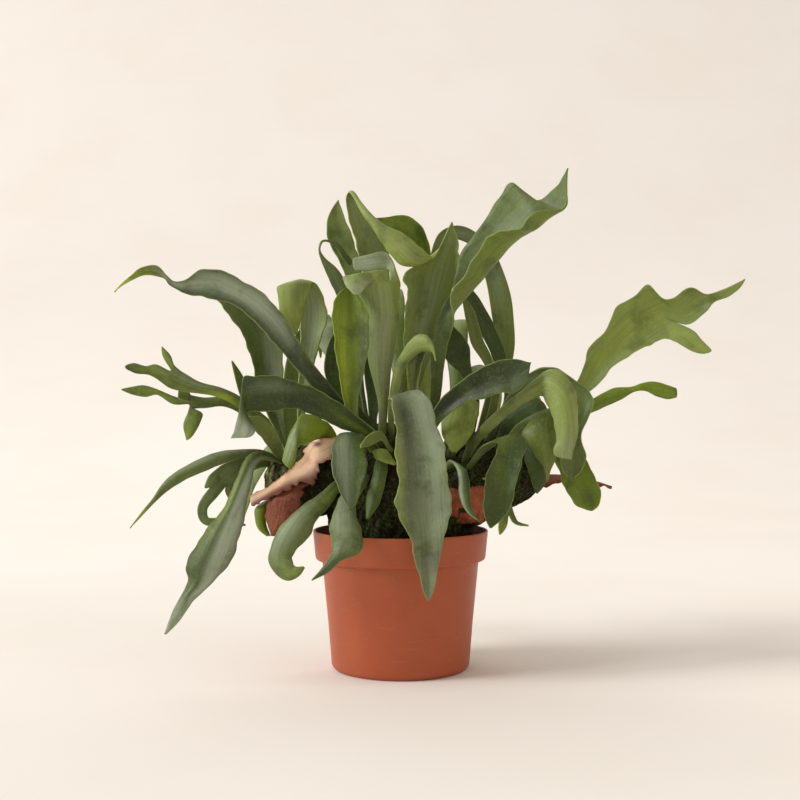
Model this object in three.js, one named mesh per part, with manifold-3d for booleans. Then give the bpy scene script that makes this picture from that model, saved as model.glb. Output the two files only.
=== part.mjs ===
// A staghorn fern in a round plastic nursery pot. Millimetres, +Z up, -Y towards the viewer.
// The origin is the middle of the pot's flat base.

import * as THREE from 'three';
import { mergeVertices } from 'three/addons/utils/BufferGeometryUtils.js';
import Module from 'manifold-3d';

const wasm = await Module();
wasm.setup();

// Pot
const POT_HEIGHT = 96;
const BASE_RADIUS = 46.4;
const BODY_TOP_RADIUS = 54.6;
const RIM_FOOT_RADIUS = 59.2;
const RIM_TOP_RADIUS = 61;
const RIM_DEPTH = 20;
const RIM_FOOT = POT_HEIGHT - RIM_DEPTH;
const POT_WALL = 1.5;
const POT_FLOOR = 1.9;
const POT_EDGE = 0.8;
const FOOT_EDGE = 1.4;
const POT_SIDES = 36;
const DRAIN_COUNT = 6;
const DRAIN_RADIUS = 5;
const DRAIN_CIRCLE = 30;
const DRAIN_SIDES = 12;

// Soil
const SOIL_TOP = 88;
const SOIL_CRUMB = 1.6;
const SOIL_RINGS = [51, 44];

// Clearance between pieces that touch
const GAP = 0.3;

// Points of one shape that lie closer than this are one point
const WELD = 1e-4;

// Rootstock: a lump with a radius over LARGE_LUMP has smaller faces, and the knobs are parts of the radius
const LARGE_LUMP = 40;
const LARGE_DETAIL = 3;
const SMALL_DETAIL = 2;
const KNOBS = [0.035, 0.02];

// Leaves
const BLADE = 1.1;
const STALK = 3.2;
const STALK_PART = 0.45;
const ROOT_LENGTH = 16;
const TIP_WIDTH = 1.2;
const RIPPLE_HALF = 8;
const PRONG_RIPPLE = 0.5;
const RIPPLE_PHASE = 1.7;
const OTHER_EDGE_PHASE = 1.9;
const WIDE_BLADE = 30;
const MIDDLE_BLADE = 20;
const NARROW_PRONG = 10;
const RINGS_PER_ROW = 2;
const TRACED_RINGS_PER_ROW = 1;
const TRACED_NUMBERS = 9;
const SHIELD_SQUARES = [10, 7];
const LOWER_EDGE_TEAR = 0.8;

// Colours of the leaves, soil and pot
const TERRACOTTA = 0xb0603f;
const PEAT = 0x2b211b;
const ROOTSTOCK = 0x4a3a2a;
const SILVER = 0x7f8c74;
const OLIVE = 0x66733a;
const DEEP = 0x3f4f2a;
const GREY = 0x626f4c;
const BRIGHT = 0x72832f;
const PALE = 0x828f57;
const TAN = 0xd9b78c;
const RUSSET = 0x8a4a35;

const ROUGHNESS = { pot: 0.5, soil: 1, crown: 0.95, leaf: 0.6, shield: 0.8 };

// The rootstock is a row of rounded lumps: centre x, y, z and the three radii
const LUMPS = [
  [0, 4, 112, 52, 42, 46],
  [-6, 12, 144, 34, 28, 26],
  [-64, -4, 130, 30, 26, 24],
  [64, 12, 134, 36, 30, 24],
  [40, -8, 122, 28, 22, 24],
];

// Each leaf is a list of rows along its midrib. A row is a place and the width there: x, y, z and width.
// Where a blade folds, rolls or turns, a row is a place on the left edge, one on the midrib and one on the
// right edge: nine numbers.
// The cup is the angle in degrees that each half of the blade curls by, towards the viewer when positive.
// A leaf that forks has prongs, from left to right, which share out its last width. Where two leaves grow
// from one stalk, they are the prongs of that stalk.
const LEAVES = {
  front_hanging: {
    colour: SILVER, rows: [
      [4, -12, 146.5, 1, -12, 146.5, -1.5, -12, 146.5], [5, -26, 169.5, 1, -27, 169.5, -3, -26, 169.5],
      [8.5, -47, 189, 1, -46, 187.5, -7, -47, 185.5], [11.5, -58, 192, 2.5, -56, 190, -8, -59, 188],
      [19, -69, 185, 6, -66, 185, -6, -70, 184.5], [23, -76, 171.5, 9.5, -73, 171, -3, -77, 170.5],
      [27.5, -79, 156.5, 12.5, -75, 156, -3, -80, 156],
      [29.5, -81, 143, 13.5, -77, 142.5, -2.5, -82, 142],
      [29.5, -82, 135, 14.5, -79, 133, -0.5, -83, 131.5],
      [33, -83, 122, 15, -79, 121.5, -4, -84, 121.5], [30, -82, 110.5, 16, -79, 109.5, 0.5, -83, 110],
      [28, -81, 99.5, 17, -79, 99.5, 6, -82, 99.5], [25, -80, 86.5, 17, -79, 86.5, 8.5, -81, 87],
      [23, -80, 74.5, 17.5, -79, 74.5, 12, -80, 74.5], [21, -79, 65, 18, -78.5, 64.5, 14.5, -79, 64.5],
      [18, -78, 59, 17.5, -78, 58.5, 17, -78, 59]],
  },
  front_left_short: {
    colour: DEEP, rows: [
      [-8.5, -12, 142.5, -10.5, -12, 142.5, -13, -12, 142.5],
      [-16.5, -27, 156.5, -19.5, -26, 158, -22, -27, 158.5],
      [-24.5, -40, 159.5, -31, -40, 163.5, -38.5, -41, 164.5],
      [-22.5, -50, 151.5, -33.5, -49, 156.5, -45, -50, 156],
      [-22, -57, 143, -33, -54, 145.5, -45, -57, 145],
      [-25, -62, 132, -33, -59, 133, -42.5, -62, 134.5],
      [-28, -65, 121, -32.5, -64, 121.5, -37, -65, 122.5],
      [-31.5, -67, 116, -32.5, -67, 115.5, -33.5, -67, 116]],
  },
  front_left_folded: {
    colour: OLIVE, rows: [
      [-19.5, -22, 136, -21, -22, 136, -22, -22, 136],
      [-23, -42, 129, -26.5, -42, 130.5, -29.5, -42, 132],
      [-28, -54, 121, -33, -55, 123, -38.5, -54, 124], [-29, -61, 111, -35, -64, 113, -43, -61, 114],
      [-25, -66, 101.5, -34.5, -70, 103, -45.5, -66, 103],
      [-24, -69, 92, -33.5, -73, 94, -44.5, -69, 94.5],
      [-28, -72, 87.5, -36.5, -75, 88, -44.5, -72, 87.5],
      [-38, -74, 83.5, -43, -76, 83, -47.5, -74, 82],
      [-46, -76, 76.5, -48.5, -77, 77, -51.5, -76, 77.5],
      [-56, -76, 71.5, -56.5, -76, 71.5, -56.5, -76, 72]],
  },
  front_left_curled: {
    colour: DEEP, rows: [
      [-30.5, -20, 132, -32, -20, 133, -33, -20, 134.5],
      [-39, -40, 127.5, -41, -40, 130.5, -43, -40, 132.5],
      [-47, -50, 116.5, -51, -52, 120.5, -55.5, -50, 122.5],
      [-55, -57, 107.5, -62, -60, 112, -68, -57, 114],
      [-59.5, -61, 97.5, -69, -65, 102.5, -77.5, -61, 104],
      [-66.5, -64, 90, -74.5, -68, 93, -83, -64, 94], [-70, -67, 85.5, -76.5, -70, 85, -85, -66, 83.5],
      [-69.5, -70, 83, -75, -72, 79.5, -80, -68, 74.5],
      [-68, -72, 80.5, -70.5, -73, 75.5, -72, -71, 70.5],
      [-66, -73, 79.5, -65.5, -74, 77, -65, -73, 73.5],
      [-62, -73.5, 80, -61.5, -73.5, 79.5, -61, -73.5, 79]],
  },
  long_left: {
    colour: SILVER, rows: [
      [-17, -5, 156, -16, -5, 157.5, -15, -5, 158.5],
      [-38.5, -10, 174.5, -35.5, -9, 177, -33.5, -10, 179.5],
      [-57.5, -14, 192, -54, -13, 195.5, -50, -14, 199],
      [-67.5, -17, 203.5, -64.5, -15, 208, -60.5, -17, 212],
      [-77.5, -19, 215, -73.5, -17, 220.5, -69.5, -20, 226],
      [-89, -22, 228.5, -84, -19, 235.5, -78, -23, 241],
      [-99.5, -24, 240, -94, -21, 247, -86.5, -26, 252],
      [-110, -26, 249, -104.5, -22, 255.5, -96.5, -28, 261],
      [-121, -27, 253.5, -115.5, -23, 260.5, -107.5, -30, 267],
      [-132.5, -28, 256, -127.5, -24, 264.5, -120.5, -31, 273.5],
      [-142.5, -29, 257.5, -138.5, -26, 264.5, -134.5, -31, 274.5],
      [-150, -30, 260.5, -147.5, -29, 263, -144.5, -31, 267.5],
      [-156, -31, 264, -154.5, -31, 265.5, -152.5, -31, 266.5],
      [-159, -32, 268, -158.5, -32, 269, -157.5, -32, 270.5],
      [-165, -33, 270, -165, -31, 273.5, -164, -34, 276.5],
      [-172.5, -35, 270, -174, -33, 273, -174, -35, 275],
      [-180, -36, 266.5, -180.5, -36, 268, -181, -36, 269.5],
      [-186.5, -37, 262.5, -187, -37, 263, -187.5, -37, 263.5],
      [-191, -38, 258.5, -191, -38, 258.5, -191.5, -38, 258.5]],
  },
  dark_left: {
    colour: DEEP, rows: [
      [-8.5, -12, 149, -6.5, -12, 151.5, -4.5, -12, 153.5],
      [-26, -22, 161, -23.5, -21, 165.5, -21, -22, 168.5],
      [-41, -27, 167.5, -36.5, -26, 174, -33, -28, 178.5],
      [-54, -32, 174, -49.5, -30, 182.5, -46, -33, 187.5],
      [-65.5, -36, 179, -61.5, -34, 188.5, -58.5, -37, 194.5],
      [-76.5, -39, 180.5, -74, -37, 191, -71.5, -40, 199],
      [-88, -41, 178.5, -87, -39, 191, -85.5, -42, 202.5],
      [-97.5, -43, 178.5, -97, -41, 190.5, -96.5, -43, 202.5],
      [-102.5, -45, 178.5, -102.5, -44, 189, -104, -44, 201.5],
      [-99.5, -47, 173.5, -104, -48, 181.5, -105.5, -46, 189.5],
      [-96, -47, 167, -103.5, -48, 173, -107.5, -47, 176.5],
      [-99.5, -46, 162, -106, -46, 166, -110, -46, 166],
      [-110.5, -45, 161, -111.5, -45, 161, -112.5, -45, 161]],
  },
  left_drooping: {
    colour: DEEP, rows: [
      [-81, -20, 142.5, -81, -20, 144, -81, -20, 145.5],
      [-91, -34, 146.5, -91.5, -35, 149, -92.5, -34, 151],
      [-96, -42, 143, -98.5, -44, 146, -101.5, -42, 148.5],
      [-98, -48, 133.5, -103.5, -50, 133.5, -108.5, -48, 133.5],
      [-101, -52, 119.5, -109, -56, 119, -114.5, -51, 118],
      [-103.5, -55, 103, -116, -60, 102.5, -127, -53, 101.5],
      [-107.5, -57, 89, -121.5, -63, 89, -135, -55, 89],
      [-113.5, -59, 77, -125.5, -65, 79, -139.5, -57, 78],
      [-124, -60, 66, -130, -65, 67.5, -139, -58, 67.5],
      [-133, -60, 57.5, -137, -63, 59.5, -143, -59, 58],
      [-137, -60, 52.5, -140.5, -62, 52, -147, -60, 51.5],
      [-144, -60, 42.5, -146.5, -61, 43, -150.5, -60, 42.5],
      [-152, -60, 34, -153, -60, 34, -153.5, -60, 34]],
  },
  left_arching: {
    colour: GREY, rows: [
      [-79, -10, 141.5, -79, -10, 143, -79, -10, 144.5],
      [-94.5, -20, 146, -94.5, -21, 149, -94.5, -20, 152],
      [-108.5, -27, 147, -110, -29, 150, -111.5, -27, 152.5],
      [-122, -33, 142.5, -124, -35, 147, -126, -33, 150.5],
      [-134, -37, 137.5, -136.5, -39, 141.5, -140, -37, 144],
      [-144.5, -40, 132.5, -147.5, -42, 136, -151, -40, 137.5],
      [-154, -43, 126.5, -156, -44, 128.5, -158.5, -43, 130],
      [-163, -44, 118.5, -164, -45, 119.5, -165, -44, 120],
      [-171.5, -46, 109, -172.5, -46, 109.5, -173, -46, 110],
      [-179, -46, 101.5, -179, -46, 101.5, -179, -46, 102]],
  },
  left_cut: {
    colour: DEEP, cup: 15, wave: 0.5, ruffles: 2, flat: true, rows: [
      [-80, -3, 140, 5], [-96, -12, 144, 8], [-110, -20, 140, 14], [-120, -26, 132, 19]],
    prongs: [
      { rows: [[-116, -27, 125, 6], [-115, -28, 118, 1.5]] },
      { rows: [
        [-127, -31, 123, 8], [-133, -34, 114, 7], [-130, -36, 105, 6], [-117, -35, 105, 5],
        [-104, -32, 102, 1.5]] },
      { rows: [[-127, -29, 132, 8], [-132, -31, 127, 1.5]] }],
  },
  left_antler_high: {
    colour: OLIVE, rows: [
      [-82.5, -4, 145.5, -81, -4, 146, -80, -4, 147], [-98.5, -12, 166, -96.5, -12, 168, -94, -12, 170],
      [-111.5, -18, 181.5, -109.5, -18, 184.5, -107, -18, 187],
      [-124.5, -22, 188.5, -123, -23, 192, -121.5, -22, 194.5],
      [-137.5, -25, 191, -136.5, -27, 194.5, -136, -25, 198.5],
      [-149, -28, 192.5, -147, -30, 198.5, -146.5, -28, 204.5],
      [-157, -30, 194.5, -154.5, -32, 202, -153, -30, 210]],
    prongs: [
      { rows: [
        [-164, -32, 200.5, -164, -34, 205, -164.5, -32, 210.5],
        [-169.5, -34, 203.5, -170, -35, 206.5, -171, -34, 209],
        [-176.5, -36, 204, -177, -37, 207, -178, -36, 211],
        [-181.5, -37, 206, -182.5, -37, 208, -181.5, -37, 210.5],
        [-183, -38, 207.5, -184, -38, 208.5, -183, -38, 209.5]] },
      { rows: [
        [-160, -31, 215.5, -158, -32, 215.5, -155, -31, 216.5],
        [-161, -32, 222.5, -160.5, -32, 222.5, -160.5, -32, 222.5]] }],
  },
  left_antler_low: {
    colour: OLIVE, rows: [
      [-84, 4, 143.5, -82.5, 4, 144.5, -81, 4, 145], [-97, -1, 161.5, -95.5, -1, 163.5, -94, -1, 165.5],
      [-109.5, -5, 175.5, -108, -5, 178, -107, -5, 181],
      [-122, -9, 182, -122, -10, 185, -122, -9, 188.5],
      [-134, -12, 181, -134.5, -13, 184.5, -135.5, -12, 188],
      [-144, -14, 180.5, -144.5, -16, 185, -145, -14, 190]],
    prongs: [
      { rows: [
        [-136, -14, 177, -140.5, -15, 177, -147, -14, 176],
        [-138, -15, 170, -144, -16, 170, -149.5, -15, 170],
        [-142.5, -15, 162.5, -145, -16, 161.5, -148, -15, 162.5],
        [-146.5, -15, 159, -147, -15, 159, -147, -15, 159]] },
      { rows: [
        [-156, -17, 183.5, -156, -18, 186.5, -155.5, -17, 189],
        [-166, -19, 190, -165.5, -20, 192, -166, -19, 193.5],
        [-173.5, -21, 188.5, -175, -22, 192.5, -174.5, -21, 196.5],
        [-182, -23, 190, -182.5, -24, 192.5, -182, -23, 195.5],
        [-189.5, -25, 193, -190, -25, 193.5, -189.5, -25, 194]] },
      { rows: [
        [-145.5, -21, 185.5, -146, -18, 190, -145, -21, 194],
        [-151.5, -23, 187, -152, -20, 190.5, -151, -23, 194]] }],
  },
  left_slender: {
    colour: OLIVE, cup: 15, wave: 0.3, ruffles: 2, rows: [
      [-77, 18, 146, 8], [-79, 20, 156, 10]],
    prongs: [
      { rows: [[-95, 24, 170, 5], [-110, 24, 183, 5], [-115, 22, 200, 7], [-121, 20, 215, 1.2]] },
      { rows: [[-79, 22, 182, 13], [-75, 24, 210, 16], [-72, 24, 230, 10], [-68, 24, 242, 1.5]] }],
  },
  left_olive: {
    colour: OLIVE, cup: 15, wave: 0.3, ruffles: 2, rows: [
      [-80, -14, 142, 5], [-87, -23, 159, 10], [-95, -29, 170, 11], [-103, -33, 175, 1.5]],
  },
  left_back_tall: {
    colour: DEEP, rows: [
      [-79.5, 10, 145.5, -78.5, 10, 145.5, -76, 10, 145.5],
      [-90, 12, 166.5, -85.5, 13, 166.5, -81.5, 12, 166.5],
      [-98.5, 12, 186.5, -91.5, 16, 186.5, -83.5, 12, 186.5],
      [-102.5, 10, 202, -94.5, 16, 202.5, -83.5, 12, 203.5],
      [-106, 9, 217.5, -96, 16, 218, -83.5, 12, 219],
      [-111, 7, 231.5, -98.5, 15, 233, -84.5, 11, 233.5],
      [-118.5, 5, 243.5, -104, 12, 245, -88, 10, 245.5], [-125.5, 4, 252, -110.5, 9, 253, -95, 9, 254],
      [-129, 4, 257, -117.5, 7, 258, -106.5, 8, 258]],
  },
  left_arch: {
    colour: GREY, rows: [
      [-72.5, 2, 150, -71, 2, 150, -70, 2, 150], [-72.5, 6, 186.5, -69.5, 7, 186.5, -66, 6, 186.5],
      [-71, 8, 222, -65, 10, 222, -58.5, 8, 222], [-70.5, 8, 243, -61.5, 11, 243.5, -52, 8, 243],
      [-71, 6, 259, -62.5, 9, 260, -54, 7, 258], [-74.5, 1, 268, -67, 3, 270, -59.5, 4, 268],
      [-84.5, -7, 265, -75, -9, 267, -62.5, -4, 267.5],
      [-84.5, -10, 255.5, -76, -12, 256, -65, -8, 257],
      [-82.5, -11, 244.5, -75.5, -13, 244.5, -68, -10, 245],
      [-73.5, -11, 232.5, -72.5, -11, 231.5, -71.5, -11, 232.5]],
  },
  loop: {
    colour: GREY, rows: [
      [-24.5, 10, 167.5, -23, 10, 167.5, -21.5, 10, 167.5],
      [-34.5, 14, 222, -32.5, 14, 222, -30, 14, 222], [-44.5, 16, 258, -40.5, 17, 258, -36, 16, 258.5],
      [-51.5, 14, 273.5, -47.5, 14, 275.5, -43, 14, 277.5],
      [-56, 11, 284.5, -54.5, 11, 286, -53, 11, 287], [-58, 9, 292, -57.5, 9, 292.5, -56.5, 9, 292.5],
      [-56.5, 10, 299, -55.5, 10, 298.5, -55, 10, 298],
      [-51, 13, 300.5, -51, 13, 299.5, -51, 13, 298.5],
      [-44, 17, 298.5, -44.5, 17, 296.5, -45.5, 17, 294.5],
      [-38.5, 20, 292, -40, 20, 290, -41, 20, 287.5], [-33.5, 22, 285.5, -35, 22, 284.5, -37, 22, 283]],
  },
  pale_pointed: {
    colour: PALE, rows: [
      [-20.5, 22, 168.5, -19, 22, 168.5, -17.5, 22, 168.5],
      [-23.5, 31, 208.5, -20.5, 31, 208.5, -18, 31, 208.5],
      [-31, 35, 252.5, -27.5, 36, 254, -23, 35, 255],
      [-41, 32, 279.5, -35.5, 33, 282.5, -29.5, 32, 287],
      [-49, 30, 295.5, -41, 33, 298, -33, 31, 298.5],
      [-53.5, 28, 307.5, -45.5, 31, 309.5, -36.5, 29, 309],
      [-52.5, 27, 318, -46.5, 29, 319, -40.5, 28, 319], [-48.5, 26, 326, -46, 27, 327, -43, 27, 326],
      [-45.5, 26, 330.5, -45, 26, 331, -45, 26, 330.5]],
  },
  hairpin: {
    colour: PALE, rows: [
      [-13, 14, 169, -11, 14, 169, -9.5, 14, 169], [-17, 20, 208, -13.5, 20, 208, -9.5, 20, 208],
      [-23.5, 24, 258.5, -16, 25, 258.5, -8.5, 24, 258.5],
      [-30.5, 20, 294, -20.5, 24, 294.5, -9, 22, 294.5],
      [-34.5, 16, 308, -27.5, 21, 308.5, -18.5, 20, 308.5],
      [-37.5, 12, 320, -32.5, 16, 321.5, -26, 16, 320.5],
      [-38.5, 8, 328, -34.5, 11, 330.5, -29.5, 12, 328], [-36, 3, 332.5, -33.5, 4, 333, -30, 6, 329.5],
      [-32.5, -2, 327, -29, -2, 326, -26.5, 1, 323], [-27, -5, 316.5, -22.5, -7, 316.5, -19, -3, 314.5],
      [-20.5, -7, 307.5, -15, -10, 307, -11, -6, 308], [-14, -8, 297.5, -6, -11, 297.5, -0.5, -8, 303],
      [-7.5, -8, 287.5, 3, -12, 290, 8, -9, 297.5], [1.5, -8, 280, 10, -11, 284, 14, -9, 291.5],
      [12, -7, 279.5, 16.5, -9, 283.5, 19, -8, 287.5], [21, -6, 284.5, 22, -6, 285, 22, -6, 286]],
  },
  dark_arch: {
    colour: BRIGHT, rows: [
      [-1, 26, 168.5, 1, 26, 168.5, 3, 26, 168.5], [7.5, 38, 208.5, 10.5, 38, 208.5, 13.5, 38, 208.5],
      [14.5, 45, 253, 18, 46, 253, 22, 45, 253], [12, 43, 286, 17.5, 46, 288.5, 22.5, 45, 288.5],
      [7.5, 39, 297.5, 14.5, 43, 304.5, 20.5, 42, 302], [2, 35, 302.5, 7.5, 39, 312.5, 15, 40, 315.5],
      [-7, 31, 305.5, -2, 35, 314, 3.5, 38, 321.5], [-15, 29, 310.5, -12, 32, 316, -9, 34, 320],
      [-20, 30, 317, -19, 30, 318, -18.5, 30, 318.5]],
  },
  olive_flared: {
    colour: OLIVE, rows: [
      [-15, -8, 163, -13, -9, 163, -10.5, -8, 163], [-15.5, -6, 186.5, -12, -8, 186.5, -8.5, -6, 186.5],
      [-21, -6, 207.5, -13.5, -9, 207, -6.5, -5, 207.5], [-23.5, -6, 228, -13, -11, 228, -3, -5, 228],
      [-22, -6, 245.5, -11.5, -12, 245, -1, -5, 245.5],
      [-27.5, -9, 259, -12.5, -14, 256.5, -0.5, -5, 259], [-30, -13, 265, -14, -15, 267, -0.5, -4, 268]],
    prongs: [
      { rows: [
        [-38, -22, 270.5, -25, -24, 273, -8.5, -10, 277],
        [-38.5, -27, 266.5, -30.5, -30, 262.5, -16.5, -20, 270],
        [-34, -29, 262.5, -29.5, -31, 257, -25, -26, 262.5]] },
      { rows: [
        [-8, 3, 278, -6.5, 2, 283.5, -9, 3, 290], [-21, 6, 277, -21, 5, 283, -21.5, 6, 289],
        [-32, 8, 277.5, -33.5, 8, 282, -34, 7, 287]] }],
  },
  bright_front: {
    colour: BRIGHT, rows: [
      [-26, -14, 159, -23.5, -14, 159, -21.5, -14, 159],
      [-35.5, -17, 174, -32, -16, 173.5, -28.5, -17, 172.5],
      [-38.5, -20, 185, -34, -17, 185, -29, -20, 185],
      [-40.5, -22, 196.5, -34, -18, 196.5, -27, -22, 196.5],
      [-43, -24, 212, -34, -19, 212.5, -23.5, -24, 212],
      [-45, -25, 227, -34, -19, 227.5, -21.5, -25, 227],
      [-46, -25, 242, -34, -18, 242.5, -21.5, -25, 240.5],
      [-45.5, -23, 253, -34, -16, 253.5, -23.5, -24, 250.5],
      [-42, -20, 259.5, -34, -15, 260, -27.5, -20, 257.5],
      [-37.5, -16, 263.5, -34.5, -15, 264, -31, -16, 262]],
  },
  behind_bright: {
    colour: DEEP, cup: 20, wave: 0.5, ruffles: 2, rows: [
      [-20, 2, 163, 9], [-22, 3, 172, 11]],
    prongs: [
      { rows: [[-38, -2, 190, 9], [-47, -2, 206, 13], [-46, 0, 224, 10], [-44, 2, 237, 2]] },
      { rows: [[-18, 5, 195, 13], [-20, 6, 222, 14], [-22, 7, 240, 10], [-22, 7, 252, 1.5]] }],
  },
  small_arch: {
    colour: PALE, rows: [
      [-7.5, -5, 158.5, -6, -5, 158.5, -4, -5, 158.5], [-8.5, -9, 176, -6.5, -10, 176, -4.5, -9, 176],
      [-7, -14, 192, -4.5, -16, 192, -1.5, -14, 192], [-4, -20, 208.5, -0.5, -22, 207.5, 2.5, -20, 207],
      [2.5, -26, 221, 6, -28, 217.5, 8, -26, 215], [9, -31, 229, 12, -34, 223.5, 14, -31, 218.5],
      [16.5, -35, 230, 17.5, -38, 225, 19, -35, 219], [21, -38, 225, 21.5, -39, 221.5, 21.5, -38, 218],
      [24, -39, 212.5, 23.5, -39, 212.5, 23.5, -39, 212.5]],
  },
  broad_pointed: {
    colour: OLIVE, rows: [
      [6, 0, 158, 7.5, 0, 158, 9.5, 0, 158], [6, 3, 186.5, 9, 5, 186.5, 11.5, 3, 186.5],
      [4.5, 4, 210.5, 9.5, 10, 210.5, 15, 6, 212], [2.5, 1, 227, 12.5, 13, 228, 23.5, 7, 230.5],
      [3.5, -3, 248, 17, 16, 249.5, 31.5, 9, 251.5], [4.5, -5, 262.5, 20.5, 17, 264.5, 38, 10, 268.5],
      [3, -5, 274, 24, 17, 279.5, 42, 11, 282.5], [13, 1, 282, 29, 16, 292, 42, 12, 293],
      [23, 7, 287, 32.5, 14, 299.5, 40.5, 13, 301], [28.5, 10, 296.5, 34.5, 13, 306, 38.5, 13, 306.5],
      [36, 12, 312.5, 36.5, 12, 313, 37, 12, 312.5]],
  },
  channel: {
    colour: SILVER, rows: [
      [18.5, 8, 157, 21, 8, 157, 23, 8, 157], [21, 6, 186.5, 24.5, 6, 186.5, 28, 6, 186.5],
      [21.5, 3, 221.5, 26.5, 2, 221, 32, 1, 220], [26, 0, 242.5, 32, -2, 241.5, 36.5, -8, 240.5],
      [36, 4, 264.5, 45.5, -2, 258.5, 35, -12, 259.5], [40.5, 6, 284, 57, -4, 271.5, 43, -16, 271.5],
      [45.5, 6, 293.5, 62, -6, 278, 48, -19, 281], [52, 6, 303, 69, -8, 285.5, 55, -22, 289.5],
      [58, 6, 312, 75.5, -10, 293, 59.5, -25, 297], [64.5, 6, 322.5, 82, -12, 299, 65.5, -28, 300.5],
      [71.5, 5, 331.5, 89, -13, 304.5, 74, -30, 301],
      [77.5, 3, 338.5, 96, -14, 309.5, 81.5, -30, 303.5],
      [82.5, 2, 336, 102, -15, 313.5, 87.5, -30, 310],
      [88, 0, 328.5, 107.5, -17, 315.5, 93.5, -28, 314], [97, -4, 326, 111, -19, 317.5, 102, -25, 315],
      [104, -10, 331, 113.5, -20, 322.5, 108.5, -22, 316],
      [109, -15, 335.5, 113, -19, 330, 113, -21, 325],
      [112, -18, 340.5, 113, -19, 338.5, 114, -20, 336],
      [114, -19, 345, 114.5, -19, 345, 114.5, -19, 345]],
  },
  right_tall_arch: {
    colour: OLIVE, cup: 20, wave: 0.8, ruffles: 4, rows: [
      [56, 26, 156, 6], [66, 35, 187, 9], [76, 41, 220, 14], [75, 45, 253, 16], [67, 46, 285, 14],
      [56, 42, 303, 11], [42, 36, 309, 10], [30, 30, 304, 10], [23, 28, 291, 4]],
  },
  right_inner_a: {
    colour: OLIVE, cup: 15, wave: 0.3, ruffles: 2, rows: [
      [58, 14, 155, 5], [68, 20, 189, 6], [64, 23, 212, 7], [55, 23, 229, 9], [50, 21, 248, 8],
      [45, 20, 260, 2]],
  },
  right_inner_b: {
    colour: DEEP, cup: 15, wave: 0.4, ruffles: 2, rows: [
      [64, 20, 154, 5], [78, 28, 189, 6], [72, 32, 217, 10], [62, 34, 241, 12], [51, 35, 262, 9],
      [47, 35, 271, 2]],
  },
  dark_behind: {
    colour: DEEP, cup: 15, wave: 0.5, ruffles: 2, rows: [
      [49, 10, 157, 5], [53, 12, 185, 6], [47, 15, 206, 9], [39, 18, 223, 20], [33, 20, 237, 12],
      [30, 20, 246, 2]],
  },
  dark_right: {
    colour: DEEP, rows: [
      [18, -16, 148.5, 19.5, -16, 148, 21, -16, 147.5],
      [18.5, -25, 169.5, 21.5, -25, 168, 24, -25, 166],
      [24.5, -31, 183, 28.5, -30, 179, 32.5, -33, 177],
      [35, -37, 195, 40.5, -35, 189.5, 42.5, -38, 184.5],
      [46.5, -41, 203, 51, -39, 195.5, 53.5, -43, 187], [58, -45, 210, 62, -43, 201, 64.5, -47, 190.5],
      [70.5, -48, 213, 72.5, -46, 203, 73.5, -50, 191], [80, -50, 212.5, 79.5, -49, 205, 79, -51, 194],
      [86, -52, 211, 85, -51, 208, 84, -52, 200.5]],
  },
  olive_under: {
    colour: OLIVE, cup: 20, wave: 0.6, ruffles: 2, rows: [
      [35, -2, 147, 6], [43, -6, 173, 10], [44, -13, 188, 18], [41, -22, 178, 24], [38, -26, 165, 22],
      [36, -28, 151, 4]],
  },
  right_hook: {
    colour: OLIVE, rows: [
      [42, -10, 143.5, 43, -10, 142, 44.5, -10, 141],
      [47.5, -19, 159, 49.5, -20, 157, 52.5, -19, 155.5],
      [58, -27, 172, 60.5, -28, 170, 63.5, -27, 167.5],
      [69.5, -33, 183, 72, -34, 180.5, 75, -33, 178.5],
      [79, -38, 191, 81.5, -40, 188.5, 85, -38, 185.5],
      [88, -42, 199, 90.5, -45, 193.5, 93.5, -42, 189],
      [97.5, -45, 205.5, 96.5, -50, 197, 95.5, -46, 186.5],
      [106.5, -48, 205.5, 102, -54, 194, 98, -49, 181],
      [113.5, -50, 195.5, 106.5, -57, 186.5, 100, -52, 174],
      [116, -52, 183.5, 108.5, -58, 176, 102, -53, 165.5],
      [116.5, -53, 173, 109, -58, 166, 102, -54, 159.5],
      [115.5, -54, 162.5, 108.5, -57, 158, 100.5, -55, 154],
      [113, -55, 154, 108, -56, 151.5, 100.5, -55, 151], [112, -56, 147.5, 108, -56, 148, 103, -56, 149]],
  },
  right_round_tip: {
    colour: GREY, rows: [
      [54.5, 4, 148, 56, 4, 147, 57.5, 4, 146.5], [67.5, 2, 176, 70, 2, 174.5, 72, 2, 173],
      [80.5, -4, 197, 84, -3, 194, 87.5, -4, 191.5], [93, -10, 207, 96.5, -8, 201, 98.5, -11, 194.5],
      [107, -16, 208.5, 108.5, -13, 199.5, 108, -17, 192],
      [118.5, -21, 200, 117.5, -18, 192.5, 114, -22, 185],
      [128.5, -25, 192.5, 124.5, -22, 183.5, 116.5, -26, 177],
      [130.5, -28, 183.5, 124, -25, 175, 114.5, -29, 169],
      [125.5, -31, 172, 119.5, -28, 167, 111.5, -32, 161.5],
      [121.5, -33, 161.5, 116, -30, 158, 108.5, -34, 155],
      [124.5, -34, 148.5, 116.5, -31, 148, 107.5, -35, 147],
      [122, -34, 139.5, 116, -32, 138.5, 108.5, -35, 139.5],
      [117, -34, 134.5, 115.5, -33, 134, 112, -34, 135]],
  },
  right_speckled: {
    colour: BRIGHT, rows: [
      [63.5, 14, 151.5, 65, 14, 150.5, 66.5, 14, 149], [90, 16, 169.5, 91.5, 16, 167.5, 93, 16, 165],
      [114.5, 12, 188, 117.5, 12, 185, 120.5, 12, 182.5], [124, 8, 198, 129, 9, 195, 134.5, 8, 193],
      [129.5, 6, 210.5, 137, 9, 205.5, 142.5, 5, 201.5], [132, 4, 222.5, 143, 8, 215, 150, 3, 210.5],
      [143, 2, 234, 153, 7, 225.5, 161, 1, 218], [151, 1, 250.5, 163, 6, 235, 172, 0, 224],
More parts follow.
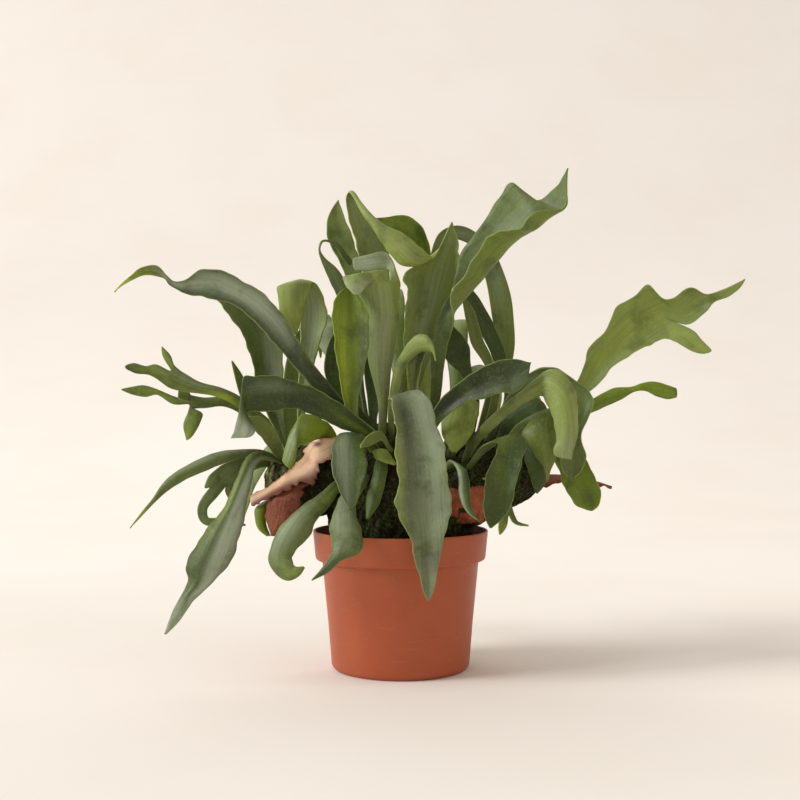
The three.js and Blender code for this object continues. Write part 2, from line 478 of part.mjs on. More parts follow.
      [162, 0, 258.5, 174, 6, 243, 179.5, -1, 227.5], [173, -2, 267.5, 184, 5, 249, 188, -3, 229.5]],
    prongs: [
      { rows: [
        [182.5, -3, 257.5, 193.5, 2, 248.5, 200, -3, 239],
        [191, -4, 258, 201.5, 1, 251.5, 207.5, -4, 243], [202, -5, 265, 209.5, -1, 257, 214, -5, 250],
        [212, -5, 260, 216.5, -4, 258, 219, -5, 255], [223.5, -6, 263, 226, -5, 260, 227.5, -6, 258],
        [232, -7, 267, 233.5, -7, 265, 235, -7, 263.5], [239, -7, 270.5, 239, -7, 270.5, 239.5, -7, 270]] },
      { rows: [
        [203.5, -6, 235, 198.5, -6, 230.5, 193, -6, 226], [209, -8, 228, 205, -8, 224, 200, -8, 221],
        [213.5, -10, 223, 211.5, -10, 221, 208, -10, 218.5],
        [215, -11, 221, 214.5, -11, 220, 213, -11, 219]] }],
  },
  right_blunt: {
    colour: BRIGHT, rows: [
      [64, -2, 144.5, 65, -2, 143, 66, -2, 142], [95.5, -6, 165.5, 97, -6, 163.5, 99, -6, 161],
      [119, -9, 179, 121, -9, 176, 123, -9, 173.5], [136, -10, 189, 138, -11, 186, 141, -10, 181.5],
      [147.5, -11, 194.5, 149, -13, 190.5, 151.5, -12, 186.5],
      [159, -12, 195.5, 159.5, -13, 193.5, 161, -13, 192],
      [166.5, -13, 198, 167, -14, 195.5, 168.5, -14, 192.5],
      [175, -14, 199, 175.5, -15, 194.5, 176.5, -14, 189],
      [184.5, -15, 196.5, 184.5, -16, 192, 184, -15, 187],
      [189.5, -16, 194.5, 190, -16, 191, 189.5, -16, 188]],
  },
  right_taper: {
    colour: OLIVE, rows: [
      [64, -12, 141.5, 66, -12, 141, 68, -12, 139.5],
      [78, -22, 168.5, 81, -22, 166.5, 83.5, -22, 164.5],
      [101, -33, 179.5, 95.5, -35, 178.5, 88, -32, 173],
      [106, -38, 169.5, 94, -42, 166.5, 81.5, -37, 163],
      [105.5, -40, 158.5, 95, -44, 157, 86, -39, 155.5],
      [103.5, -41, 147.5, 97, -44, 148, 91.5, -40, 147.5], [100, -42, 140, 98, -43, 140, 96, -42, 140],
      [98, -42, 132.5, 97.5, -42, 132, 97, -42, 132.5]],
  },
  front_right: {
    colour: GREY, rows: [
      [46, -20, 136.5, 45, -20, 137, 43.5, -20, 138], [58, -36, 152, 56, -36, 153.5, 54, -36, 155],
      [76.5, -46, 163, 70, -45, 162, 64, -47, 158], [83, -53, 157.5, 71, -52, 155.5, 63, -55, 152.5],
      [79.5, -59, 148.5, 68.5, -56, 147, 59, -60, 145.5],
      [76.5, -63, 138.5, 65.5, -60, 137.5, 55.5, -64, 136.5],
      [73.5, -66, 127.5, 64, -63, 126, 53.5, -67, 125], [71, -67, 118, 63, -65, 117, 53.5, -68, 116.5],
      [66.5, -68, 110.5, 60, -67, 109, 54.5, -69, 110], [59, -69, 104.5, 58, -69, 104, 57, -69, 104.5]],
  },
  front_right_forked: {
    colour: OLIVE, cup: 12, wave: 0.3, ruffles: 2, across: [1, 0, 0], rows: [
      [48, -10, 133, 5], [62, -30, 132, 5], [69, -45, 121, 7], [71, -51, 111, 9]],
    prongs: [
      { rows: [[67, -53, 104, 6], [65, -54, 98, 1.2]] },
      { rows: [[76, -54, 106, 5], [84, -55, 104, 1.2]] }],
  },
  pale_edged: {
    colour: DEEP, rows: [
      [32.5, -18, 137, 31, -18, 138, 30, -18, 138.5],
      [36.5, -33, 142.5, 34.5, -33, 144, 32.5, -32, 146],
      [43, -43, 140.5, 39.5, -43, 142, 37, -42, 141], [45, -48, 134, 42, -49, 133.5, 38.5, -47, 133.5],
      [46, -51, 122.5, 42.5, -52, 122.5, 39, -50, 123], [47, -54, 115, 45, -55, 113.5, 43, -54, 113.5],
      [52, -58, 107, 51, -58, 107.5, 50.5, -58, 107.5]],
  },
  right_dark_hanging: {
    colour: DEEP, rows: [
      [61, 0, 139.5, 63, 0, 139, 65, 0, 137.5], [67, -8, 161, 70.5, -9, 157.5, 74.5, -8, 152.5],
      [75.5, -14, 179, 78.5, -16, 170.5, 81.5, -14, 159],
      [90, -19, 188.5, 88.5, -22, 177, 86.5, -19, 159.5], [101, -22, 178, 94, -26, 169, 85, -22, 155],
      [102.5, -24, 159, 94.5, -28, 154, 84.5, -24, 147.5],
      [99.5, -25, 140, 93.5, -28, 137.5, 87.5, -25, 136],
      [98, -25, 129.5, 94, -27, 128, 90, -25, 128.5], [93.5, -26, 123.5, 92.5, -26, 123, 92, -26, 123.5]],
  },
  right_low_round: {
    colour: BRIGHT, rows: [
      [67.5, 8, 145, 69, 8, 144, 70.5, 8, 143.5], [91, 2, 158.5, 92.5, 2, 155, 93.5, 2, 152],
      [108.5, -4, 161.5, 108.5, -3, 154.5, 106, -5, 147.5],
      [121, -9, 156.5, 116, -8, 149, 109, -10, 141], [129, -13, 142.5, 122, -11, 138, 111, -14, 131.5],
      [135, -15, 131, 127, -13, 126.5, 115, -16, 122],
      [137.5, -16, 122, 130.5, -14, 119, 119.5, -17, 115],
      [136, -17, 114.5, 132, -16, 113, 126.5, -17, 111.5],
      [132.5, -17, 111, 131.5, -17, 110.5, 130, -17, 110.5]],
  },
  center_twist: {
    colour: PALE, cup: 15, wave: 0.3, ruffles: 2, across: [0, 0, 1], rows: [
      [-8, -22, 154, 4], [-13, -35, 162, 6], [-20, -47, 160, 8], [-26, -57, 156, 2]],
  },
  center_low: {
    colour: OLIVE, cup: 15, wave: 0.3, ruffles: 2, across: [1, 0, 0], rows: [
      [-9, -18, 144, 5], [-14, -32, 153, 9], [-11, -44, 149, 11], [-3, -51, 144, 3]],
  },
  center_dark_hanging: {
    colour: DEEP, cup: 15, wave: 0.3, ruffles: 2, across: [1, 0, 0], rows: [
      [-8, -14, 140, 5], [-12, -28, 147, 8], [-14, -38, 137, 10], [-18, -41, 121, 11], [-22, -43, 107, 2]],
  },
  back_left_tall: {
    colour: GREY, cup: -20, wave: 1.2, ruffles: 4, rows: [[-24, 32, 158, 7], [-28, 38, 170, 9]],
    prongs: [
      {
        rows: [[-39, 52, 200, 10], [-54, 72, 232, 18], [-68, 98, 250, 26]],
        prongs: [
          { rows: [[-86, 118, 250, 16], [-98, 132, 240, 9], [-106, 140, 226, 1.5]] },
          { rows: [[-66, 124, 250, 14], [-66, 142, 240, 8], [-66, 152, 222, 1.5]] }],
      },
      { rows: [
        [-32, 54, 202, 10], [-37, 70, 236, 17], [-40, 90, 255, 20], [-42, 112, 255, 20], [-46, 130, 240, 14],
        [-48, 138, 220, 1.5]] }],
  },
  back_centre: {
    colour: OLIVE, cup: -25, wave: 1.5, ruffles: 4, rows: [[4, 38, 154, 7], [5, 44, 166, 9]],
    prongs: [
      { rows: [
        [0, 52, 200, 10], [-5, 64, 238, 16], [-8, 82, 265, 22], [-12, 104, 272, 24], [-16, 124, 258, 16],
        [-18, 133, 238, 1.5]] },
      { rows: [
        [9, 60, 196, 11], [14, 86, 224, 20], [16, 112, 234, 28], [18, 134, 222, 28], [20, 148, 198, 22],
        [20, 152, 172, 1.5]] }],
  },
  back_right: {
    colour: OLIVE, cup: -20, wave: 1.2, ruffles: 4, rows: [[34, 38, 150, 7], [38, 46, 162, 9]],
    prongs: [
      { rows: [
        [41, 54, 194, 9], [42, 66, 226, 16], [43, 86, 247, 20], [43, 108, 246, 20], [42, 126, 228, 14],
        [41, 134, 208, 1.5]] },
      {
        rows: [[47, 60, 186, 10], [57, 80, 204, 18], [72, 102, 210, 26]],
        prongs: [
          { rows: [[76, 126, 206, 14], [80, 142, 190, 8], [80, 150, 172, 1.5]] },
          { rows: [[94, 116, 206, 14], [108, 126, 194, 9], [118, 132, 178, 1.5]] }],
      }],
  },
  back_low_left: {
    colour: GREY, cup: -22, wave: 1, ruffles: 3, rows: [[-62, 18, 140, 6], [-67, 27, 147, 8]],
    prongs: [
      { rows: [
        [-84, 39, 153, 10], [-100, 56, 147, 18], [-113, 72, 128, 20], [-119, 80, 108, 12],
        [-121, 84, 94, 1.5]] },
      { rows: [
        [-73, 44, 158, 9], [-82, 66, 164, 18], [-90, 88, 156, 24], [-96, 104, 138, 19],
        [-98, 112, 118, 1.5]] }],
  },
  back_low_right: {
    colour: SILVER, cup: -22, wave: 1, ruffles: 3, rows: [[72, 34, 142, 6], [77, 43, 150, 8]],
    prongs: [
      { rows: [
        [84, 58, 161, 9], [96, 78, 166, 18], [106, 98, 158, 24], [112, 112, 140, 18], [116, 120, 122, 1.5]] },
      { rows: [
        [95, 52, 156, 10], [114, 64, 154, 18], [128, 76, 138, 20], [134, 84, 120, 12],
        [136, 88, 106, 1.5]] }],
  },
  back_drop: {
    colour: DEEP, cup: -25, wave: 1, ruffles: 3, rows: [
      [-10, 36, 144, 6], [-10, 58, 158, 10], [-8, 78, 150, 20], [-7, 88, 124, 26], [-6, 90, 94, 20],
      [-6, 90, 66, 1.5]],
  },
  shield_living: {
    colour: BRIGHT, rows: [
      [-45.5, -17, 154, -43.5, -18, 155, -41.5, -17, 156.5],
      [-50.5, -23, 162, -48, -24, 164, -45.5, -23, 166],
      [-57.5, -31, 161.5, -54, -33, 166, -50.5, -30, 172],
      [-63.5, -39, 159.5, -61, -42, 167.5, -57, -38, 175.5],
      [-67.5, -43, 156.5, -66.5, -46, 167, -65, -42, 176.5],
      [-68.5, -47, 153.5, -69, -49, 162.5, -70, -45, 170.5],
      [-69, -46, 149.5, -71.5, -48, 156, -74, -45, 162],
      [-70.5, -45, 144.5, -73.5, -47, 149.5, -76.5, -44, 153],
      [-72.5, -43, 140, -76, -45, 143, -78.5, -43, 146.5]],
  },
  shield_right_edge: {
    colour: RUSSET, cup: 30, wave: 2.4, ruffles: 4, across: [0, 1, 0], rows: [
      [72, 30, 122, 18], [92, 30, 130, 30], [112, 28, 132, 34], [134, 26, 129, 28], [152, 23, 124, 5]],
  },
  shield_living_low: {
    colour: BRIGHT, root: 5, rows: [
      [-86, -12, 120, -88.5, -12, 119, -91.5, -11, 117.5],
      [-90.5, -19, 114.5, -94.5, -22, 113.5, -99, -19, 112.5],
      [-92, -21, 106.5, -95, -24, 105.5, -99, -21, 104.5],
      [-91, -22, 100, -93.5, -24, 98.5, -96.5, -22, 98],
      [-88.5, -22, 93.5, -89.5, -22.5, 94, -91, -22, 93.5]],
  },
  shield_tan: {
    colour: TAN, root: 2, rows: [
      [-46, -30, 155.5, -46, -30, 158, -46.5, -29, 160.5],
      [-47.5, -34, 148.5, -50, -33, 154, -54, -27, 158.5],
      [-53.5, -37, 143, -57.5, -33, 149.5, -62.5, -21, 155],
      [-53.5, -39, 137, -60, -34, 144.5, -68, -14, 151.5],
      [-59.5, -39, 132.5, -64.5, -35, 139.5, -70.5, -23.5, 145],
      [-68, -38, 131, -70, -35, 135.5, -73, -26.5, 139],
      [-76.5, -36, 126.5, -78.5, -33, 130.5, -80, -25, 135],
      [-84.5, -32, 122.5, -86.5, -28, 125.5, -88.5, -20.5, 129],
      [-92.5, -27, 117.5, -94, -24, 121, -96, -18, 125],
      [-101, -22, 114, -102, -20, 116.5, -102.5, -17, 120.5]],
  },
  shield_brown_left: {
    colour: RUSSET, root: 2, rows: [
      [-63.5, -30.5, 128.5, -74.5, -29.5, 127, -86, -22.5, 123.5],
      [-65.5, -33, 121, -77.5, -34, 120, -90.5, -25, 118],
      [-67.5, -33, 113.5, -79, -35, 112.5, -91.5, -26, 111],
      [-73, -31, 105, -81, -33, 104.5, -90, -27, 103.5],
      [-83.5, -28, 94.5, -85.5, -28.5, 94.5, -87.5, -28, 94.5]],
  },
};

// A shield frond wraps a lump: the way it faces, its lower and upper edge at either end, all in degrees,
// and how far it stands off the lump
const SHIELDS = {
  shield_brown_right: {
    colour: RUSSET, lump: 4, turn: [246, 312], low: [-52, -46], high: [10, 12], off: [1.6, 1.6], flare: 2,
    crumple: 0.5, torn: 1.5, seed: 14,
  },
  shield_back: {
    colour: TAN, lump: 0, turn: [42, 142], low: [-16, -16], high: [26, 24], off: [1.6, 1.6], flare: 6,
    crumple: 1.2, torn: 4, seed: 21,
  },
};

const RADIANS = Math.PI / 180;
const TOWARDS_BACK = new THREE.Vector3(0, 1, 0);

// A closed geometry as a solid that can be joined and cut
function solidOf(geometry) {
  const bare = geometry.clone();
  bare.deleteAttribute('normal');
  bare.deleteAttribute('uv');
  const merged = mergeVertices(bare, WELD);
  return new wasm.Manifold(new wasm.Mesh({
    numProp: 3,
    vertProperties: Float32Array.from(merged.attributes.position.array),
    triVerts: Uint32Array.from(merged.index.array),
  }));
}

function geometryOf(solid) {
  const mesh = solid.getMesh();
  const geometry = new THREE.BufferGeometry();
  geometry.setAttribute('position', new THREE.BufferAttribute(mesh.vertProperties, 3));
  geometry.setIndex(new THREE.BufferAttribute(mesh.triVerts, 1));
  return geometry;
}

function largestBody(solid) {
  const bodies = solid.decompose();
  return bodies.reduce((best, body) => (body.volume() > best.volume() ? body : best));
}

// Catmull-Rom: a smooth curve through b and c, with a before them and d after
function between(a, b, c, d, t) {
  const bend = 2 * a - 5 * b + 4 * c - d;
  const turn = 3 * b - a - 3 * c + d;
  return 0.5 * (2 * b + (c - a) * t + bend * t * t + turn * t * t * t);
}

// Rows at every fraction of the way along a list of rows, each number on its own smooth curve
function smoothRows(rows, steps) {
  const first = rows[0].map((value, k) => 2 * value - rows[1][k]);
  const last = rows.at(-1).map((value, k) => 2 * value - rows.at(-2)[k]);
  const padded = [first, ...rows, last];
  const out = [];
  for (let i = 0; i < rows.length - 1; i += 1) {
    const [a, b, c, d] = padded.slice(i, i + 4);
    for (let step = 0; step < steps; step += 1) {
      out.push(b.map((value, k) => between(a[k], value, c[k], d[k], step / steps)));
    }
  }
  out.push([...rows.at(-1)]);
  return out;
}

const pointOf = (row) => new THREE.Vector3(row[0], row[1], row[2]);

// Direction of the midrib at each row, from the rows on either side of it
function directionsOf(rows) {
  return rows.map((row, i) => {
    const after = pointOf(rows[Math.min(i + 1, rows.length - 1)]);
    const before = pointOf(rows[Math.max(i - 1, 0)]);
    return after.sub(before).normalize();
  });
}

// The direction across the blade at each row. A flat leaf shows its face to the viewer all along, and on
// any other leaf the direction is carried along the midrib without turning.
function acrossOf(rows, start, flat) {
  const directions = directionsOf(rows);
  const carried = start.clone();
  return rows.map((row, i) => {
    if (i > 0 && flat) {
      const level = new THREE.Vector3().crossVectors(TOWARDS_BACK, directions[i]);
      carried.copy(level.multiplyScalar(Math.sign(level.dot(carried)) || 1));
    } else if (i > 0) {
      carried.applyQuaternion(new THREE.Quaternion().setFromUnitVectors(directions[i - 1], directions[i]));
    }
    return carried.addScaledVector(directions[i], -carried.dot(directions[i])).normalize().clone();
  });
}

// The left edge, the midrib and the right edge of a row of nine numbers
const edgesOf = (row) => [0, 3, 6].map((k) => new THREE.Vector3().fromArray(row, k));

const isTraced = (row) => row.length === TRACED_NUMBERS;

const midribOf = (row) => (isTraced(row) ? edgesOf(row)[1] : pointOf(row));

function widthOf(row) {
  if (!isTraced(row)) return row[3];
  const [left, middle, right] = edgesOf(row);
  return left.distanceTo(middle) + middle.distanceTo(right);
}

// A strip whose edges are given, as rings of points: each ring is a parabola from edge to edge by the midrib
function tracedRings(rows, columns) {
  return smoothRows(rows, TRACED_RINGS_PER_ROW).map((row) => {
    const [left, middle, right] = edgesOf(row);
    const bend = left.clone().add(right).multiplyScalar(0.5).sub(middle);
    const chord = right.sub(left).multiplyScalar(0.5);
    chord.setLength(Math.max(chord.length(), TIP_WIDTH / 2));
    return Array.from({ length: columns + 1 }, (_, j) => {
      const v = (2 * j) / columns - 1;
      return middle.clone().addScaledVector(chord, v).addScaledVector(bend, v * v);
    });
  });
}

// A strip of blade as rings of points. Each ring is an arc of the row's width that curls by the cup angle.
function stripRings(rows, across, look, columns, ripple) {
  const full = rows.map((row, i) => [row[0], row[1], row[2], row[3], ...across[i].toArray()]);
  const fine = smoothRows(full, RINGS_PER_ROW);
  const directions = directionsOf(fine);
  return fine.map((row, i) => {
    const side = new THREE.Vector3(row[4], row[5], row[6]);
    side.addScaledVector(directions[i], -side.dot(directions[i])).normalize();
    const facing = new THREE.Vector3().crossVectors(side, directions[i]);
    const half = Math.max(row[3], TIP_WIDTH) / 2;
    const curl = look.cup * RADIANS;
    return Array.from({ length: columns + 1 }, (_, j) => {
      const v = (2 * j) / columns - 1;
      const wave = waveAt(look, i / (fine.length - 1), v) * Math.min(1, half / RIPPLE_HALF) * ripple;
      const out = (half * Math.sin(v * curl)) / curl;
      const lift = (half * (1 - Math.cos(v * curl))) / curl + wave;
      return pointOf(row).addScaledVector(side, out).addScaledVector(facing, lift);
    });
  });
}

// The waved edge: a sine along the leaf that grows from nothing at the midrib to its full height at the edge
function waveAt(look, along, v) {
  const phase = look.phase + (v < 0 ? OTHER_EDGE_PHASE : 0);
  return look.wave * v * v * Math.sin(2 * Math.PI * look.ruffles * along + phase);
}

// Adds rings to a sheet of points, with two triangles for each small square
function addRings(sheet, ids) {
  for (let i = 0; i < ids.length - 1; i += 1) {
    for (let j = 0; j < ids[i].length - 1; j += 1) {
      const [a, b, c, d] = [ids[i][j], ids[i][j + 1], ids[i + 1][j + 1], ids[i + 1][j]];
      if ((i + j) % 2) sheet.faces.push([a, b, c], [a, c, d]);
      else sheet.faces.push([a, b, d], [b, c, d]);
    }
  }
}

function addPoint(sheet, point, thickness) {
  sheet.points.push(point);
  sheet.thickness.push(thickness);
  return sheet.points.length - 1;
}

// Gives a sheet its thickness: both faces lie half of it away along the sheet's normals, and a rim joins them
function thicken(sheet) {
  const count = sheet.points.length;
  const normals = sheet.points.map(() => new THREE.Vector3());
  const edges = new Map();
  for (const face of sheet.faces) {
    const [a, b, c] = face.map((id) => sheet.points[id]);
    const normal = new THREE.Vector3().crossVectors(b.clone().sub(a), c.clone().sub(a));
    face.forEach((id, k) => {
      normals[id].add(normal);
      const next = face[(k + 1) % 3];
      const back = `${next} ${id}`;
      if (!edges.delete(back)) edges.set(`${id} ${next}`, [id, next]);
    });
  }
  const place = (id, side) => {
    const half = (side * sheet.thickness[id]) / 2;
    return sheet.points[id].clone().addScaledVector(normals[id], half);
  };
  normals.forEach((normal) => normal.normalize());
  const points = [];
  sheet.points.forEach((_, id) => points.push(place(id, 1)));
  sheet.points.forEach((_, id) => points.push(place(id, -1)));
  const faces = sheet.faces.flatMap(([a, b, c]) => [[a, b, c], [c + count, b + count, a + count]]);
  for (const [a, b] of edges.values()) faces.push([a, a + count, b + count], [a, b + count, b]);
  const geometry = new THREE.BufferGeometry();
  geometry.setAttribute('position', new THREE.Float32BufferAttribute(points.flatMap((p) => p.toArray()), 3));
  geometry.setIndex(faces.flat());
  return geometry;
}

// Small squares across a strip: enough for its width, and for all the prongs that it splits into
function columnsOf(strip, isProng) {
  if (strip.prongs) return strip.prongs.reduce((sum, prong) => sum + columnsOf(prong, true), 0);
  const widest = Math.max(...strip.rows.map(widthOf));
  if (widest > WIDE_BLADE) return 4;
  if (widest > MIDDLE_BLADE) return 3;
  return isProng && widest < NARROW_PRONG ? 1 : 2;
}

// Grows a strip and then its prongs. A prong starts on its share of the last ring of the strip it leaves.
function growStrip(sheet, look, strip, columns, across, shared) {
  const rows = shared ? [shared.row, ...strip.rows] : strip.rows;
  const rings = isTraced(rows[0])
    ? tracedRings(rows, columns)
    : stripRings(rows, acrossOf(rows, across, look.flat), look, columns, shared ? PRONG_RIPPLE : 1);
  const thickness = (i) => {
    const stalk = shared ? 0 : Math.max(0, 1 - i / (rings.length - 1) / STALK_PART);
    return BLADE + (STALK - BLADE) * stalk;
  };
  const ids = rings.map((ring, i) => {
    if (shared && i === 0) return shared.ids;
    return ring.map((point) => addPoint(sheet, point, thickness(i)));
  });
  addRings(sheet, ids);
  let low = 0;
  for (const prong of strip.prongs ?? []) {
    const high = low + columnsOf(prong, true);
    const [left, right] = [rings.at(-1)[low], rings.at(-1)[high]];
    const middle = left.clone().add(right).multiplyScalar(0.5);
    const row = isTraced(rows[0])
      ? [left, rings.at(-1)[Math.floor((low + high) / 2)], right].flatMap((point) => point.toArray())
      : [...middle.toArray(), left.distanceTo(right)];
    const chord = right.clone().sub(left).normalize();
    growStrip(sheet, look, prong, high - low, chord, { row, ids: ids.at(-1).slice(low, high + 1) });
    low = high;
  }
}

// A leaf: a stalk that is sunk in the rootstock, a blade, and any prongs that the blade splits into
function leafSheet(look) {
  const sheet = { points: [], faces: [], thickness: [] };
  const [first, second] = look.rows;
  const heading = midribOf(second).sub(midribOf(first)).normalize();
  const step = heading.clone().multiplyScalar(look.root ?? ROOT_LENGTH);
  const root = isTraced(first)
    ? edgesOf(first).flatMap((point) => point.sub(step).toArray())
    : [...pointOf(first).sub(step).toArray(), first[3]];
  const rows = [root, ...look.rows];
  const across = look.across
    ? new THREE.Vector3(...look.across)
    : new THREE.Vector3().crossVectors(TOWARDS_BACK, heading);
  across.addScaledVector(heading, -across.dot(heading)).normalize();
  growStrip(sheet, look, { rows, prongs: look.prongs }, columnsOf(look, false), across);
  return sheet;
}

// A shield frond: a sheet that follows a lump of the rootstock. Sines of unequal length tear its edges and
// crumple its face, each counted along the sheet (s) and up it (t).
function shieldSheet(look) {
  const [cx, cy, cz, rx, ry, rz] = LUMPS[look.lump];
  const sheet = { points: [], faces: [], thickness: [] };
  const [around, up] = SHIELD_SQUARES;
  const ids = [];
  for (let i = 0; i <= up; i += 1) {
    const ring = [];
    for (let j = 0; j <= around; j += 1) {
      const s = j / around;
      const t = i / up;
      const torn = look.torn * (Math.sin(9 * s + look.seed) + 0.8 * Math.sin(23 * s + 2 * look.seed));
      const turn = (look.turn[0] + (look.turn[1] - look.turn[0]) * s) * RADIANS;
      const edge = Math.abs(2 * t - 1) ** 3;
      const sign = t > 0.5 ? 1 : -LOWER_EDGE_TEAR;
      const low = look.low[0] + (look.low[1] - look.low[0]) * s;
      const high = look.high[0] + (look.high[1] - look.high[0]) * s;
      const rise = (low + (high - low) * t + sign * torn * edge) * RADIANS;
      const rim = Math.max(t, Math.abs(2 * s - 1)) ** 4;
      const crease = look.crumple * Math.sin(14 * s + 5 * t + look.seed) * Math.cos(6 * t + 3 * s);
      const off = look.off[0] + (look.off[1] - look.off[0]) * s + look.flare * rim + crease;
      ring.push(addPoint(sheet, new THREE.Vector3(
        cx + (rx + off) * Math.cos(turn) * Math.cos(rise),
        cy + (ry + off) * Math.sin(turn) * Math.cos(rise),
        cz + (rz + off) * Math.sin(rise),
      ), BLADE));
    }
    ids.push(ring);
  }
  addRings(sheet, ids);
  return sheet;
}

// One lump of the rootstock, knobbly, and larger all over by the given amount
function lump([x, y, z, rx, ry, rz], grow) {
  const detail = rx > LARGE_LUMP ? LARGE_DETAIL : SMALL_DETAIL;
  const ball = new THREE.IcosahedronGeometry(1, detail).deleteAttribute('normal').deleteAttribute('uv');
  const geometry = mergeVertices(ball, WELD);
  const places = geometry.attributes.position;
  for (let i = 0; i < places.count; i += 1) {
    const p = new THREE.Vector3().fromBufferAttribute(places, i);
    const knob = 1
      + KNOBS[0] * Math.sin(7 * p.x + 0.1 * x) * Math.cos(6 * p.y + 2)
      + KNOBS[1] * Math.sin(11 * p.z);
    places.setXYZ(i,
      x + (rx * knob + grow) * p.x,
      y + (ry * knob + grow) * p.y,
      z + (rz * knob + grow) * p.z);
  }
  return solidOf(geometry);
}

function rootstock(grow) {
  return LUMPS.map((size) => lump(size, grow)).reduce((whole, next) => whole.add(next));
}

// Radius of the pot's body at a height
function bodyRadius(z) {
  const foot = BASE_RADIUS + FOOT_EDGE;
  return foot + (BODY_TOP_RADIUS - foot) * (z / RIM_FOOT);
}

function turned(profile) {
  const points = profile.map(([radius, height]) => new THREE.Vector2(radius, height));
  const geometry = new THREE.LatheGeometry(points, POT_SIDES);
  geometry.rotateX(Math.PI / 2);
  return geometry;
}

// The pot's profile runs from the middle of the base up the outside, over the rim and down the inside
function pot() {
  const body = solidOf(turned([
    [0, 0],
    [BASE_RADIUS - FOOT_EDGE, 0],
    [BASE_RADIUS + FOOT_EDGE / 2, POT_EDGE],
    [bodyRadius(3 * POT_EDGE), 3 * POT_EDGE],
    [BODY_TOP_RADIUS, RIM_FOOT - POT_EDGE],
    [RIM_FOOT_RADIUS - POT_EDGE, RIM_FOOT],
    [RIM_FOOT_RADIUS, RIM_FOOT + POT_EDGE],
    [RIM_TOP_RADIUS, POT_HEIGHT - POT_EDGE],
    [RIM_TOP_RADIUS - POT_EDGE / 2, POT_HEIGHT],
    [RIM_TOP_RADIUS - POT_WALL, POT_HEIGHT],
    [RIM_TOP_RADIUS - POT_WALL, POT_HEIGHT - POT_EDGE],
    [RIM_FOOT_RADIUS - POT_WALL, RIM_FOOT + POT_WALL],
    [BODY_TOP_RADIUS - POT_WALL, RIM_FOOT + POT_EDGE],
    [bodyRadius(2 * POT_FLOOR) - POT_WALL, 2 * POT_FLOOR],
    [BASE_RADIUS - POT_FLOOR, POT_FLOOR],
    [0, POT_FLOOR],
  ]));
  let whole = body;
  for (let i = 0; i < DRAIN_COUNT; i += 1) {
    const angle = (i / DRAIN_COUNT) * 2 * Math.PI;
    const hole = new THREE.CylinderGeometry(DRAIN_RADIUS, DRAIN_RADIUS, 4 * POT_FLOOR, DRAIN_SIDES);
    hole.rotateX(Math.PI / 2);
    hole.translate(DRAIN_CIRCLE * Math.cos(angle), DRAIN_CIRCLE * Math.sin(angle), 0);
    whole = whole.subtract(solidOf(hole));
  }
  return whole;
}

// The soil fills the pot. Its top is crumbly, and the rootstock stands in a hollow of it.
function soil(hollow) {
  const inner = (z) => bodyRadius(z) - POT_WALL - GAP;
  const rimInner = RIM_FOOT_RADIUS - POT_WALL - GAP;
  const geometry = mergeVertices(turned([
    [0, POT_FLOOR + GAP],
    [BASE_RADIUS - POT_FLOOR - 2 * GAP, POT_FLOOR + GAP],
    [inner(2 * POT_FLOOR + 2 * GAP), 2 * POT_FLOOR + 2 * GAP],
    [inner(RIM_FOOT), RIM_FOOT],
    [inner(RIM_FOOT), RIM_FOOT + POT_EDGE + GAP],
    [rimInner, RIM_FOOT + POT_WALL + 2 * GAP],
    [rimInner + 2 * GAP, SOIL_TOP],
    ...SOIL_RINGS.map((radius) => [radius, SOIL_TOP]),
    [0, SOIL_TOP],
  ]).deleteAttribute('normal').deleteAttribute('uv'), WELD);
  const places = geometry.attributes.position;
  for (let i = 0; i < places.count; i += 1) {
    const [x, y, z] = [places.getX(i), places.getY(i), places.getZ(i)];
    if (z === SOIL_TOP) {
      const crumb = Math.sin(0.9 * x + 1.3 * y) + Math.sin(1.7 * x - 0.8 * y + 1);
      places.setZ(i, z + (SOIL_CRUMB / 2) * crumb);
    }
  }
  return solidOf(geometry).subtract(hollow);
}

function namedMesh(name, geometry, colour, roughness) {
  const material = new THREE.MeshStandardMaterial({ color: colour, roughness, metalness: 0 });
  const mesh = new THREE.Mesh(geometry, material);
  mesh.name = name;
  return mesh;
}

const plant = new THREE.Group();
const crownRoom = rootstock(GAP);
plant.add(namedMesh('pot', geometryOf(pot()), TERRACOTTA, ROUGHNESS.pot));
plant.add(namedMesh('soil', geometryOf(largestBody(soil(crownRoom))), PEAT, ROUGHNESS.soil));
plant.add(namedMesh('crown', geometryOf(rootstock(0)), ROOTSTOCK, ROUGHNESS.crown));

const leafNames = Object.keys(LEAVES);
leafNames.forEach((name, i) => {
  const look = { ...LEAVES[name], phase: RIPPLE_PHASE * i };
  const leaf = solidOf(thicken(leafSheet(look))).subtract(crownRoom);
  plant.add(namedMesh(name, geometryOf(largestBody(leaf)), look.colour, ROUGHNESS.leaf));
});

for (const [name, look] of Object.entries(SHIELDS)) {
  const sheet = solidOf(thicken(shieldSheet(look))).subtract(crownRoom);
  plant.add(namedMesh(name, geometryOf(largestBody(sheet)), look.colour, ROUGHNESS.shield));
}

export default plant;
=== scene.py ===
"""Finished model of a staghorn fern in a plastic nursery pot, built around the part's frame.

Metres, +Z up, -Y towards the viewer. The sizes in the tables are millimetres, as on the part's drawing.
"""

import logging
import math
from dataclasses import dataclass, field
from enum import Enum

